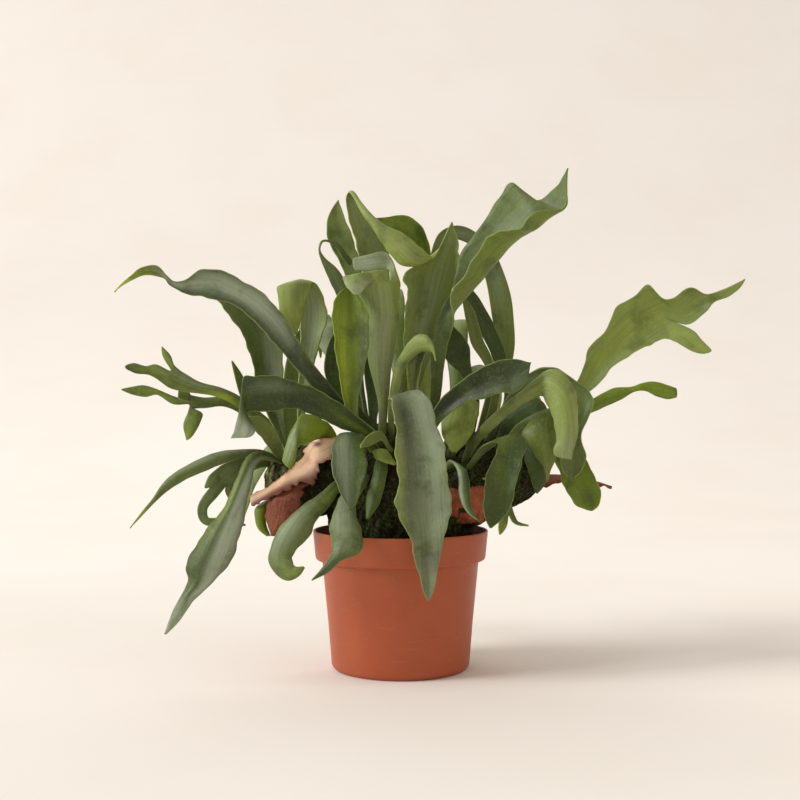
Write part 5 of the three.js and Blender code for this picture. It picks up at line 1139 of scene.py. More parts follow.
        (14.5, 45, 253, 18, 46, 253, 22, 45, 253), (12, 43, 286, 17.5, 46, 288.5, 22.5, 45, 288.5),
        (7.5, 39, 297.5, 14.5, 43, 304.5, 20.5, 42, 302), (2, 35, 302.5, 7.5, 39, 312.5, 15, 40, 315.5),
        (-7, 31, 305.5, -2, 35, 314, 3.5, 38, 321.5), (-15, 29, 310.5, -12, 32, 316, -9, 34, 320),
        (-20, 30, 317, -19, 30, 318, -18.5, 30, 318.5),)),
    Frond("olive_flared", Tone.PALE, wave=1, ruffles=3, patches=(
        Patch("silver", 0.93, 0, (0.14, 2), 0.7), Patch("tint", 0.76, 0.2, (0.1, 0.7), 0.35),
        Patch("silver", 0.45, -0.1, (0.3, 0.8), 0.45), Patch("shade", 0.4, 0.8, (0.3, 0.3), 0.4),), rows=(
        (-15, -8, 163, -13, -9, 163, -10.5, -8, 163), (-15.5, -6, 186.5, -12, -8, 186.5, -8.5, -6, 186.5),
        (-21, -6, 207.5, -13.5, -9, 207, -6.5, -5, 207.5), (-23.5, -6, 228, -13, -11, 228, -3, -5, 228),
        (-22, -6, 245.5, -11.5, -12, 245, -1, -5, 245.5),
        (-27.5, -9, 259, -12.5, -14, 256.5, -0.5, -5, 259),
        (-30, -13, 265, -14, -15, 267, -0.5, -4, 268),), prongs=(
        Prong(rows=(
            (-38, -22, 270.5, -25, -24, 273, -8.5, -10, 277),
            (-38.5, -27, 266.5, -30.5, -30, 262.5, -16.5, -20, 270),
            (-34, -29, 262.5, -29.5, -31, 257, -25, -26, 262.5),)),
        Prong(rows=(
            (-8, 3, 278, -6.5, 2, 283.5, -9, 3, 290), (-21, 6, 277, -21, 5, 283, -21.5, 6, 289),
            (-32, 8, 277.5, -33.5, 8, 282, -34, 7, 287),)),)),
    Frond("bright_front", Tone.BRIGHT, wave=1, ruffles=3, patches=(
        Patch("tint", 0.55, -0.6, (0.45, 0.45), 0.55), Patch("shade", 0.6, 0.8, (0.45, 0.4), 0.65),
        Patch("silver", 0.6, 0.55, (0.4, 0.3), 0.15),), rows=(
        (-26, -14, 159, -23.5, -14, 159, -21.5, -14, 159),
        (-35.5, -17, 174, -32, -16, 173.5, -28.5, -17, 172.5),
        (-38.5, -20, 185, -34, -17, 185, -29, -20, 185),
        (-40.5, -22, 196.5, -34, -18, 196.5, -27, -22, 196.5),
        (-43, -24, 212, -34, -19, 212.5, -23.5, -24, 212),
        (-45, -25, 227, -34, -19, 227.5, -21.5, -25, 227),
        (-46, -25, 242, -34, -18, 242.5, -21.5, -25, 240.5),
        (-45.5, -23, 253, -34, -16, 253.5, -23.5, -24, 250.5),
        (-42, -20, 259.5, -34, -15, 260, -27.5, -20, 257.5),
        (-37.5, -16, 263.5, -34.5, -15, 264, -31, -16, 262),)),
    Frond("behind_bright", Tone.DEEP, cup=20, wave=0.5, ruffles=2, rows=(
        (-20, 2, 163, 9), (-22, 3, 172, 11)), prongs=(
        Prong(rows=(
                (-38, -2, 190, 9), (-47, -2, 206, 13), (-46, 0, 224, 10), (-44, 2, 237, 2))),
        Prong(rows=(
                (-18, 5, 195, 13), (-20, 6, 222, 14), (-22, 7, 240, 10), (-22, 7, 252, 1.5))))),
    Frond("small_arch", Tone.PALE, wave=0.4, ruffles=2, patches=(
        Patch("silver", 0.6, 0, (0.1, 0.8), 0.2),), rows=(
        (-7.5, -5, 158.5, -6, -5, 158.5, -4, -5, 158.5), (-8.5, -9, 176, -6.5, -10, 176, -4.5, -9, 176),
        (-7, -14, 192, -4.5, -16, 192, -1.5, -14, 192), (-4, -20, 208.5, -0.5, -22, 207.5, 2.5, -20, 207),
        (2.5, -26, 221, 6, -28, 217.5, 8, -26, 215), (9, -31, 229, 12, -34, 223.5, 14, -31, 218.5),
        (16.5, -35, 230, 17.5, -38, 225, 19, -35, 219), (21, -38, 225, 21.5, -39, 221.5, 21.5, -38, 218),
        (24, -39, 212.5, 23.5, -39, 212.5, 23.5, -39, 212.5),)),
    Frond("broad_pointed", Tone.PALE, wave=1.2, ruffles=4, patches=(
        Patch("silver", 0.6, 0.1, (0.35, 0.6), 0.35), Patch("shade", 0.42, 0.5, (0.13, 0.5), 0.55),
        Patch("shade", 0.72, -0.45, (0.1, 0.35), 0.4), Patch("tint", 0.85, 0, (0.1, 0.6), 0.2),), rows=(
        (6, 0, 158, 7.5, 0, 158, 9.5, 0, 158), (6, 3, 186.5, 9, 5, 186.5, 11.5, 3, 186.5),
        (4.5, 4, 210.5, 9.5, 10, 210.5, 15, 6, 212), (2.5, 1, 227, 12.5, 13, 228, 23.5, 7, 230.5),
        (3.5, -3, 248, 17, 16, 249.5, 31.5, 9, 251.5), (4.5, -5, 262.5, 20.5, 17, 264.5, 38, 10, 268.5),
        (3, -5, 274, 24, 17, 279.5, 42, 11, 282.5), (13, 1, 282, 29, 16, 292, 42, 12, 293),
        (23, 7, 287, 32.5, 14, 299.5, 40.5, 13, 301), (28.5, 10, 296.5, 34.5, 13, 306, 38.5, 13, 306.5),
        (36, 12, 312.5, 36.5, 12, 313, 37, 12, 312.5),)),
    Frond("channel", Tone.GREY, wave=1, ruffles=4, patches=(
        Patch("tint", 0.75, 0.3, (0.3, 0.8), 0.25), Patch("silver", 0.72, -0.45, (0.18, 0.4), 0.3),
        Patch("shade", 0.5, -0.5, (0.12, 0.4), 0.55), Patch("shade", 0.88, 0.2, (0.05, 0.5), 0.45),), rows=(
        (18.5, 8, 157, 21, 8, 157, 23, 8, 157), (21, 6, 186.5, 24.5, 6, 186.5, 28, 6, 186.5),
        (21.5, 3, 221.5, 26.5, 2, 221, 32, 1, 220), (26, 0, 242.5, 32, -2, 241.5, 36.5, -8, 240.5),
        (36, 4, 264.5, 45.5, -2, 258.5, 35, -12, 259.5), (40.5, 6, 284, 57, -4, 271.5, 43, -16, 271.5),
        (45.5, 6, 293.5, 62, -6, 278, 48, -19, 281), (52, 6, 303, 69, -8, 285.5, 55, -22, 289.5),
        (58, 6, 312, 75.5, -10, 293, 59.5, -25, 297), (64.5, 6, 322.5, 82, -12, 299, 65.5, -28, 300.5),
        (71.5, 5, 331.5, 89, -13, 304.5, 74, -30, 301), (77.5, 3, 338.5, 96, -14, 309.5, 81.5, -30, 303.5),
        (82.5, 2, 336, 102, -15, 313.5, 87.5, -30, 310), (88, 0, 328.5, 107.5, -17, 315.5, 93.5, -28, 314),
        (97, -4, 326, 111, -19, 317.5, 102, -25, 315), (104, -10, 331, 113.5, -20, 322.5, 108.5, -22, 316),
        (109, -15, 335.5, 113, -19, 330, 113, -21, 325), (112, -18, 340.5, 113, -19, 338.5, 114, -20, 336),
        (114, -19, 345, 114.5, -19, 345, 114.5, -19, 345),)),
    Frond("right_tall_arch", Tone.OLIVE, cup=20, wave=0.8, ruffles=4, patches=(
        Patch("silver", 0.75, 0, (0.2, 0.9), 0.6), Patch("shade", 0.3, 0, (0.2, 0.8), 0.2),), rows=(
        (56, 26, 156, 6), (66, 35, 187, 9), (76, 41, 220, 14), (75, 45, 253, 16), (67, 46, 285, 14),
        (56, 42, 303, 11), (42, 36, 309, 10), (30, 30, 304, 10), (23, 28, 291, 4),)),
    Frond("right_inner_a", Tone.OLIVE, cup=15, wave=0.3, ruffles=2, rows=(
        (58, 14, 155, 5), (68, 20, 189, 6), (64, 23, 212, 7), (55, 23, 229, 9), (50, 21, 248, 8),
        (45, 20, 260, 2),)),
    Frond("right_inner_b", Tone.DEEP, cup=15, wave=0.4, ruffles=2, rows=(
        (64, 20, 154, 5), (78, 28, 189, 6), (72, 32, 217, 10), (62, 34, 241, 12), (51, 35, 262, 9),
        (47, 35, 271, 2),)),
    Frond("dark_behind", Tone.DEEP, cup=15, wave=0.5, ruffles=2, rows=(
        (49, 10, 157, 5), (53, 12, 185, 6), (47, 15, 206, 9), (39, 18, 223, 20), (33, 20, 237, 12),
        (30, 20, 246, 2),)),
    Frond("dark_right", Tone.DEEP, wave=0.8, ruffles=3, patches=(
        Patch("shade", 0.5, -0.2, (0.6, 1), 1), Patch("silver", 0.8, 0.7, (0.3, 0.4), 0.12),), rows=(
        (18, -16, 148.5, 19.5, -16, 148, 21, -16, 147.5), (18.5, -25, 169.5, 21.5, -25, 168, 24, -25, 166),
        (24.5, -31, 183, 28.5, -30, 179, 32.5, -33, 177),
        (35, -37, 195, 40.5, -35, 189.5, 42.5, -38, 184.5),
        (46.5, -41, 203, 51, -39, 195.5, 53.5, -43, 187), (58, -45, 210, 62, -43, 201, 64.5, -47, 190.5),
        (70.5, -48, 213, 72.5, -46, 203, 73.5, -50, 191), (80, -50, 212.5, 79.5, -49, 205, 79, -51, 194),
        (86, -52, 211, 85, -51, 208, 84, -52, 200.5),)),
    Frond("olive_under", Tone.OLIVE, cup=20, wave=0.6, ruffles=2, patches=(
        Patch("shade", 0.6, 0, (0.2, 1), 0.3),), rows=(
        (35, -2, 147, 6), (43, -6, 173, 10), (44, -13, 188, 18), (41, -22, 178, 24), (38, -26, 165, 22),
        (36, -28, 151, 4),)),
    Frond("right_hook", Tone.PALE, wave=0.6, ruffles=3, patches=(
        Patch("tint", 0.7, -0.2, (0.16, 0.6), 0.2), Patch("silver", 0.96, 0, (0.1, 1), 0.4),
        Patch("shade", 0.12, 0, (0.2, 1), 0.45),), rows=(
        (42, -10, 143.5, 43, -10, 142, 44.5, -10, 141), (47.5, -19, 159, 49.5, -20, 157, 52.5, -19, 155.5),
        (58, -27, 172, 60.5, -28, 170, 63.5, -27, 167.5), (69.5, -33, 183, 72, -34, 180.5, 75, -33, 178.5),
        (79, -38, 191, 81.5, -40, 188.5, 85, -38, 185.5), (88, -42, 199, 90.5, -45, 193.5, 93.5, -42, 189),
        (97.5, -45, 205.5, 96.5, -50, 197, 95.5, -46, 186.5),
        (106.5, -48, 205.5, 102, -54, 194, 98, -49, 181),
        (113.5, -50, 195.5, 106.5, -57, 186.5, 100, -52, 174),
        (116, -52, 183.5, 108.5, -58, 176, 102, -53, 165.5),
        (116.5, -53, 173, 109, -58, 166, 102, -54, 159.5),
        (115.5, -54, 162.5, 108.5, -57, 158, 100.5, -55, 154),
        (113, -55, 154, 108, -56, 151.5, 100.5, -55, 151), (112, -56, 147.5, 108, -56, 148, 103, -56, 149),)),
    Frond("right_round_tip", Tone.GREY, wave=0.6, ruffles=3, patches=(
        Patch("silver", 0.4, -0.4, (0.15, 0.5), 0.3), Patch("shade", 0.8, 0.2, (0.12, 0.6), 0.25),), rows=(
        (54.5, 4, 148, 56, 4, 147, 57.5, 4, 146.5), (67.5, 2, 176, 70, 2, 174.5, 72, 2, 173),
        (80.5, -4, 197, 84, -3, 194, 87.5, -4, 191.5), (93, -10, 207, 96.5, -8, 201, 98.5, -11, 194.5),
        (107, -16, 208.5, 108.5, -13, 199.5, 108, -17, 192),
        (118.5, -21, 200, 117.5, -18, 192.5, 114, -22, 185),
        (128.5, -25, 192.5, 124.5, -22, 183.5, 116.5, -26, 177),
        (130.5, -28, 183.5, 124, -25, 175, 114.5, -29, 169),
        (125.5, -31, 172, 119.5, -28, 167, 111.5, -32, 161.5),
        (121.5, -33, 161.5, 116, -30, 158, 108.5, -34, 155),
        (124.5, -34, 148.5, 116.5, -31, 148, 107.5, -35, 147),
        (122, -34, 139.5, 116, -32, 138.5, 108.5, -35, 139.5),
        (117, -34, 134.5, 115.5, -33, 134, 112, -34, 135),)),
    Frond("right_speckled", Tone.PALE, wave=1.5, ruffles=4, patches=(
        Patch("tint", 0.55, -0.2, (0.4, 1), 0.35), Patch("silver", 0.3, 0.5, (0.15, 0.4), 0.3),
        Patch("shade", 0.9, 0.3, (0.08, 0.5), 0.25),), rows=(
        (63.5, 14, 151.5, 65, 14, 150.5, 66.5, 14, 149), (90, 16, 169.5, 91.5, 16, 167.5, 93, 16, 165),
        (114.5, 12, 188, 117.5, 12, 185, 120.5, 12, 182.5), (124, 8, 198, 129, 9, 195, 134.5, 8, 193),
        (129.5, 6, 210.5, 137, 9, 205.5, 142.5, 5, 201.5), (132, 4, 222.5, 143, 8, 215, 150, 3, 210.5),
        (143, 2, 234, 153, 7, 225.5, 161, 1, 218), (151, 1, 250.5, 163, 6, 235, 172, 0, 224),
        (162, 0, 258.5, 174, 6, 243, 179.5, -1, 227.5),
        (173, -2, 267.5, 184, 5, 249, 188, -3, 229.5),), prongs=(
        Prong(rows=(
            (182.5, -3, 257.5, 193.5, 2, 248.5, 200, -3, 239),
            (191, -4, 258, 201.5, 1, 251.5, 207.5, -4, 243), (202, -5, 265, 209.5, -1, 257, 214, -5, 250),
            (212, -5, 260, 216.5, -4, 258, 219, -5, 255), (223.5, -6, 263, 226, -5, 260, 227.5, -6, 258),
            (232, -7, 267, 233.5, -7, 265, 235, -7, 263.5),
            (239, -7, 270.5, 239, -7, 270.5, 239.5, -7, 270),)),
        Prong(rows=(
            (203.5, -6, 235, 198.5, -6, 230.5, 193, -6, 226), (209, -8, 228, 205, -8, 224, 200, -8, 221),
            (213.5, -10, 223, 211.5, -10, 221, 208, -10, 218.5),
            (215, -11, 221, 214.5, -11, 220, 213, -11, 219),)),)),
    Frond("right_blunt", Tone.BRIGHT, wave=0.4, ruffles=3, patches=(
        Patch("shade", 0.5, 0.3, (0.2, 0.5), 0.3),), rows=(
        (64, -2, 144.5, 65, -2, 143, 66, -2, 142), (95.5, -6, 165.5, 97, -6, 163.5, 99, -6, 161),
        (119, -9, 179, 121, -9, 176, 123, -9, 173.5), (136, -10, 189, 138, -11, 186, 141, -10, 181.5),
        (147.5, -11, 194.5, 149, -13, 190.5, 151.5, -12, 186.5),
        (159, -12, 195.5, 159.5, -13, 193.5, 161, -13, 192),
        (166.5, -13, 198, 167, -14, 195.5, 168.5, -14, 192.5),
        (175, -14, 199, 175.5, -15, 194.5, 176.5, -14, 189),
        (184.5, -15, 196.5, 184.5, -16, 192, 184, -15, 187),
        (189.5, -16, 194.5, 190, -16, 191, 189.5, -16, 188),)),
    Frond("right_taper", Tone.OLIVE, wave=0.5, ruffles=2, patches=(
        Patch("tint", 0.55, 0, (0.15, 0.8), 0.15), Patch("silver", 0.45, 0.1, (0.2, 0.8), 0.3),), rows=(
        (64, -12, 141.5, 66, -12, 141, 68, -12, 139.5), (78, -22, 168.5, 81, -22, 166.5, 83.5, -22, 164.5),
        (101, -33, 179.5, 95.5, -35, 178.5, 88, -32, 173),
        (106, -38, 169.5, 94, -42, 166.5, 81.5, -37, 163),
        (105.5, -40, 158.5, 95, -44, 157, 86, -39, 155.5),
        (103.5, -41, 147.5, 97, -44, 148, 91.5, -40, 147.5), (100, -42, 140, 98, -43, 140, 96, -42, 140),
        (98, -42, 132.5, 97.5, -42, 132, 97, -42, 132.5),)),
    Frond("front_right", Tone.DEEP, wave=0.8, ruffles=3, patches=(
        Patch("tint", 0.5, 0.3, (0.3, 0.8), 0.2), Patch("shade", 0.6, -0.2, (0.1, 0.5), 0.35),
        Patch("silver", 0.3, 0, (0.15, 0.8), 0.25),), rows=(
        (46, -20, 136.5, 45, -20, 137, 43.5, -20, 138), (58, -36, 152, 56, -36, 153.5, 54, -36, 155),
        (76.5, -46, 163, 70, -45, 162, 64, -47, 158), (83, -53, 157.5, 71, -52, 155.5, 63, -55, 152.5),
        (79.5, -59, 148.5, 68.5, -56, 147, 59, -60, 145.5),
        (76.5, -63, 138.5, 65.5, -60, 137.5, 55.5, -64, 136.5),
        (73.5, -66, 127.5, 64, -63, 126, 53.5, -67, 125), (71, -67, 118, 63, -65, 117, 53.5, -68, 116.5),
        (66.5, -68, 110.5, 60, -67, 109, 54.5, -69, 110), (59, -69, 104.5, 58, -69, 104, 57, -69, 104.5),)),
    Frond("front_right_forked", Tone.OLIVE, cup=12, wave=0.3, ruffles=2, across=(1, 0, 0), rows=(
        (48, -10, 133, 5), (62, -30, 132, 5), (69, -45, 121, 7), (71, -51, 111, 9),), prongs=(
        Prong(rows=(
                (67, -53, 104, 6), (65, -54, 98, 1.2),)),
        Prong(rows=(
                (76, -54, 106, 5), (84, -55, 104, 1.2),)),)),
    Frond("pale_edged", Tone.GREY, wave=0.3, ruffles=2, patches=(
        Patch("silver", 0.6, 0.6, (0.5, 0.4), 0.7), Patch("shade", 0.5, -0.5, (0.5, 0.5), 0.5),), rows=(
        (32.5, -18, 137, 31, -18, 138, 30, -18, 138.5), (36.5, -33, 142.5, 34.5, -33, 144, 32.5, -32, 146),
        (43, -43, 140.5, 39.5, -43, 142, 37, -42, 141), (45, -48, 134, 42, -49, 133.5, 38.5, -47, 133.5),
        (46, -51, 122.5, 42.5, -52, 122.5, 39, -50, 123), (47, -54, 115, 45, -55, 113.5, 43, -54, 113.5),
        (52, -58, 107, 51, -58, 107.5, 50.5, -58, 107.5),)),
    Frond("right_dark_hanging", Tone.DEEP, wave=0.4, ruffles=2, rows=(
        (61, 0, 139.5, 63, 0, 139, 65, 0, 137.5), (67, -8, 161, 70.5, -9, 157.5, 74.5, -8, 152.5),
        (75.5, -14, 179, 78.5, -16, 170.5, 81.5, -14, 159),
        (90, -19, 188.5, 88.5, -22, 177, 86.5, -19, 159.5), (101, -22, 178, 94, -26, 169, 85, -22, 155),
        (102.5, -24, 159, 94.5, -28, 154, 84.5, -24, 147.5),
        (99.5, -25, 140, 93.5, -28, 137.5, 87.5, -25, 136), (98, -25, 129.5, 94, -27, 128, 90, -25, 128.5),
        (93.5, -26, 123.5, 92.5, -26, 123, 92, -26, 123.5),)),
    Frond("right_low_round", Tone.BRIGHT, wave=0.8, ruffles=3, patches=(
        Patch("shade", 0.92, 0.1, (0.1, 0.7), 0.5), Patch("shade", 0.3, 0, (0.15, 1), 0.4),), rows=(
        (67.5, 8, 145, 69, 8, 144, 70.5, 8, 143.5), (91, 2, 158.5, 92.5, 2, 155, 93.5, 2, 152),
        (108.5, -4, 161.5, 108.5, -3, 154.5, 106, -5, 147.5), (121, -9, 156.5, 116, -8, 149, 109, -10, 141),
        (129, -13, 142.5, 122, -11, 138, 111, -14, 131.5), (135, -15, 131, 127, -13, 126.5, 115, -16, 122),
        (137.5, -16, 122, 130.5, -14, 119, 119.5, -17, 115),
        (136, -17, 114.5, 132, -16, 113, 126.5, -17, 111.5),
        (132.5, -17, 111, 131.5, -17, 110.5, 130, -17, 110.5),)),
    Frond("center_twist", Tone.PALE, cup=15, wave=0.3, ruffles=2, across=(0, 0, 1), rows=(
        (-8, -22, 154, 4), (-13, -35, 162, 6), (-20, -47, 160, 8), (-26, -57, 156, 2),)),
    Frond("center_low", Tone.OLIVE, cup=15, wave=0.3, ruffles=2, across=(1, 0, 0), rows=(
        (-9, -18, 144, 5), (-14, -32, 153, 9), (-11, -44, 149, 11), (-3, -51, 144, 3),)),
    Frond("center_dark_hanging", Tone.DEEP, cup=15, wave=0.3, ruffles=2, across=(1, 0, 0), rows=(
        (-8, -14, 140, 5), (-12, -28, 147, 8), (-14, -38, 137, 10), (-18, -41, 121, 11),
        (-22, -43, 107, 2),)),
    Frond("back_left_tall", Tone.GREY, cup=-20, wave=1.2, ruffles=4, patches=(
        Patch("silver", 0.55, 0, (0.2, 0.8), 0.35),), rows=(
        (-24, 32, 158, 7), (-28, 38, 170, 9),), prongs=(
        Prong(rows=(
                (-39, 52, 200, 10), (-54, 72, 232, 18), (-68, 98, 250, 26),), prongs=(
            Prong(rows=(
                    (-86, 118, 250, 16), (-98, 132, 240, 9), (-106, 140, 226, 1.5),)),
            Prong(rows=(
                    (-66, 124, 250, 14), (-66, 142, 240, 8), (-66, 152, 222, 1.5),)),)),
        Prong(rows=(
                (-32, 54, 202, 10), (-37, 70, 236, 17), (-40, 90, 255, 20), (-42, 112, 255, 20),
                (-46, 130, 240, 14), (-48, 138, 220, 1.5),)),)),
    Frond("back_centre", Tone.OLIVE, cup=-25, wave=1.5, ruffles=4, patches=(
        Patch("silver", 0.6, 0, (0.2, 0.8), 0.3), Patch("shade", 0.3, 0, (0.15, 1), 0.3),), rows=(
        (4, 38, 154, 7), (5, 44, 166, 9),), prongs=(
        Prong(rows=(
                (0, 52, 200, 10), (-5, 64, 238, 16), (-8, 82, 265, 22), (-12, 104, 272, 24),
                (-16, 124, 258, 16), (-18, 133, 238, 1.5),)),
        Prong(rows=(
                (9, 60, 196, 11), (14, 86, 224, 20), (16, 112, 234, 28), (18, 134, 222, 28),
                (20, 148, 198, 22), (20, 152, 172, 1.5),)),)),
    Frond("back_right", Tone.OLIVE, cup=-20, wave=1.2, ruffles=4, patches=(
        Patch("tint", 0.7, 0, (0.2, 0.8), 0.2),), rows=(
        (34, 38, 150, 7), (38, 46, 162, 9),), prongs=(
        Prong(rows=(
                (41, 54, 194, 9), (42, 66, 226, 16), (43, 86, 247, 20), (43, 108, 246, 20),
                (42, 126, 228, 14), (41, 134, 208, 1.5),)),
        Prong(rows=(
                (47, 60, 186, 10), (57, 80, 204, 18), (72, 102, 210, 26),), prongs=(
            Prong(rows=(
                    (76, 126, 206, 14), (80, 142, 190, 8), (80, 150, 172, 1.5),)),
            Prong(rows=(
                    (94, 116, 206, 14), (108, 126, 194, 9), (118, 132, 178, 1.5),)),)),)),
    Frond("back_low_left", Tone.GREY, cup=-22, wave=1, ruffles=3, patches=(
        Patch("silver", 0.6, 0.2, (0.2, 0.8), 0.3),), rows=(
        (-62, 18, 140, 6), (-67, 27, 147, 8),), prongs=(
        Prong(rows=(
                (-84, 39, 153, 10), (-100, 56, 147, 18), (-113, 72, 128, 20), (-119, 80, 108, 12),
                (-121, 84, 94, 1.5),)),
        Prong(rows=(
                (-73, 44, 158, 9), (-82, 66, 164, 18), (-90, 88, 156, 24), (-96, 104, 138, 19),
                (-98, 112, 118, 1.5),)),)),
    Frond("back_low_right", Tone.SILVER, cup=-22, wave=1, ruffles=3, patches=(
        Patch("silver", 0.5, 0, (0.2, 0.8), 0.45),), rows=(
        (72, 34, 142, 6), (77, 43, 150, 8),), prongs=(
        Prong(rows=(
                (84, 58, 161, 9), (96, 78, 166, 18), (106, 98, 158, 24), (112, 112, 140, 18),
                (116, 120, 122, 1.5),)),
        Prong(rows=(
                (95, 52, 156, 10), (114, 64, 154, 18), (128, 76, 138, 20), (134, 84, 120, 12),
                (136, 88, 106, 1.5),)),)),
    Frond("back_drop", Tone.DEEP, cup=-25, wave=1, ruffles=3, patches=(
        Patch("silver", 0.6, -0.3, (0.25, 0.6), 0.35),), rows=(
        (-10, 36, 144, 6), (-10, 58, 158, 10), (-8, 78, 150, 20), (-7, 88, 124, 26), (-6, 90, 94, 20),
        (-6, 90, 66, 1.5),)),
    Frond("shield_living", Tone.BRIGHT, wave=1, ruffles=3, patches=(
        Patch("tint", 0.35, 0, (0.3, 1), 0.4), Patch("silver", 0.85, 0.1, (0.2, 0.8), 0.6),
        Patch("shade", 0.12, 0, (0.1, 1), 0.3),), rows=(
        (-45.5, -17, 154, -43.5, -18, 155, -41.5, -17, 156.5),
        (-50.5, -23, 160.5, -48, -24, 164, -45.5, -23, 166),
        (-57.5, -31, 159, -54, -33, 165.5, -50.5, -30, 172),
        (-63.5, -39, 157, -61, -42, 166.5, -57, -38, 175.5),
        (-67.5, -43, 156.5, -66.5, -46, 167, -65, -42, 176.5),
        (-68.5, -47, 153.5, -69, -49, 162.5, -70, -45, 170.5),
        (-69, -46, 149.5, -71.5, -48, 156, -74, -45, 162),
        (-70.5, -45, 144.5, -73.5, -47, 149.5, -76.5, -44, 153),
        (-72.5, -43, 140, -76, -45, 143, -78.5, -43, 146.5),)),
    Frond("shield_right_edge", Tone.RUSSET, cup=30, wave=2.4, ruffles=4, across=(0, 1, 0), rows=(
        (72, 30, 122, 18), (92, 30, 130, 30), (112, 28, 132, 34), (134, 26, 129, 28), (152, 23, 124, 5),)),
    Frond("shield_living_low", Tone.BRIGHT, wave=0.8, ruffles=2, root=5, patches=(
        Patch("tint", 0.4, 0, (0.4, 1), 0.2),), rows=(
        (-86, -12, 120, -88.5, -12, 119, -91.5, -11, 117.5),
        (-90.5, -19, 114.5, -94.5, -22, 113.5, -99, -19, 112.5),
        (-92, -21, 106.5, -95, -24, 105.5, -99, -21, 104.5),
        (-91, -22, 100, -93.5, -24, 98.5, -96.5, -22, 98),
        (-88.5, -22, 93.5, -89.5, -22.5, 94, -91, -22, 93.5),)),
    Frond("shield_tan", Tone.TAN, wave=2.2, ruffles=5, root=2, torn=0.18, patches=(
        # On the tan shield the shade patches are painted shade in its groove and along its lower edge, partly
        # a real stain
        Patch("shade", 0.15, 0.55, (0.04, 0.3), 0.95), Patch("shade", 0.75, -0.8, (0.4, 0.8), 1),
        Patch("shade", 0.42, -1, (0.16, 0.8), 1), Patch("shade", 0.3, 0.3, (0.05, 0.6), 0.35),), rows=(
        (-46, -30, 155.5, -46, -30, 158, -46.5, -29, 160.5),
        (-47.5, -34, 148, -50, -33, 154.5, -54, -27, 160),
        (-53, -37, 143, -57.5, -33, 150, -62.5, -21, 157),
        (-53.5, -39, 137, -60, -34, 144.5, -68, -14, 151.5),
        (-57.5, -39.5, 130.5, -64, -35, 139, -70.5, -23.5, 145),
        (-68, -38, 131, -70, -35, 135.5, -73, -26.5, 139),
        (-76.5, -36, 126.5, -78.5, -33, 130.5, -80, -25, 135),
        (-84.5, -32, 122.5, -86.5, -28, 125.5, -88.5, -20.5, 129),
        (-92.5, -27, 117.5, -94, -24, 121, -96, -18, 125),
        (-101, -22, 114, -102, -20, 116.5, -102.5, -17, 120.5),)),
    Frond("shield_brown_left", Tone.RUSSET, wave=1.6, ruffles=3, root=2, torn=0.1, rows=(
        (-63.5, -30.5, 128.5, -74.5, -29.5, 127, -86, -22.5, 123.5),
        (-65.5, -33, 121, -77.5, -34, 120, -90.5, -25, 118),
        (-67.5, -33, 113.5, -79, -35, 112.5, -91.5, -26, 111),
        (-73, -31, 105, -81, -33, 104.5, -90, -27, 103.5),
        (-83.5, -28, 94.5, -85.5, -28.5, 94.5, -87.5, -28, 94.5),)),
)

ORDER = {frond.name: k for k, frond in enumerate(FRONDS)}


# The crown's lumps: the middle and the half size of each, in millimetres
LUMPS = np.array([
    (0, 4, 112, 52, 42, 46), (-6, 12, 144, 34, 28, 26), (-64, -4, 130, 30, 26, 24), (64, 12, 134, 36, 30, 24),
    (40, -8, 122, 28, 22, 24)], float)


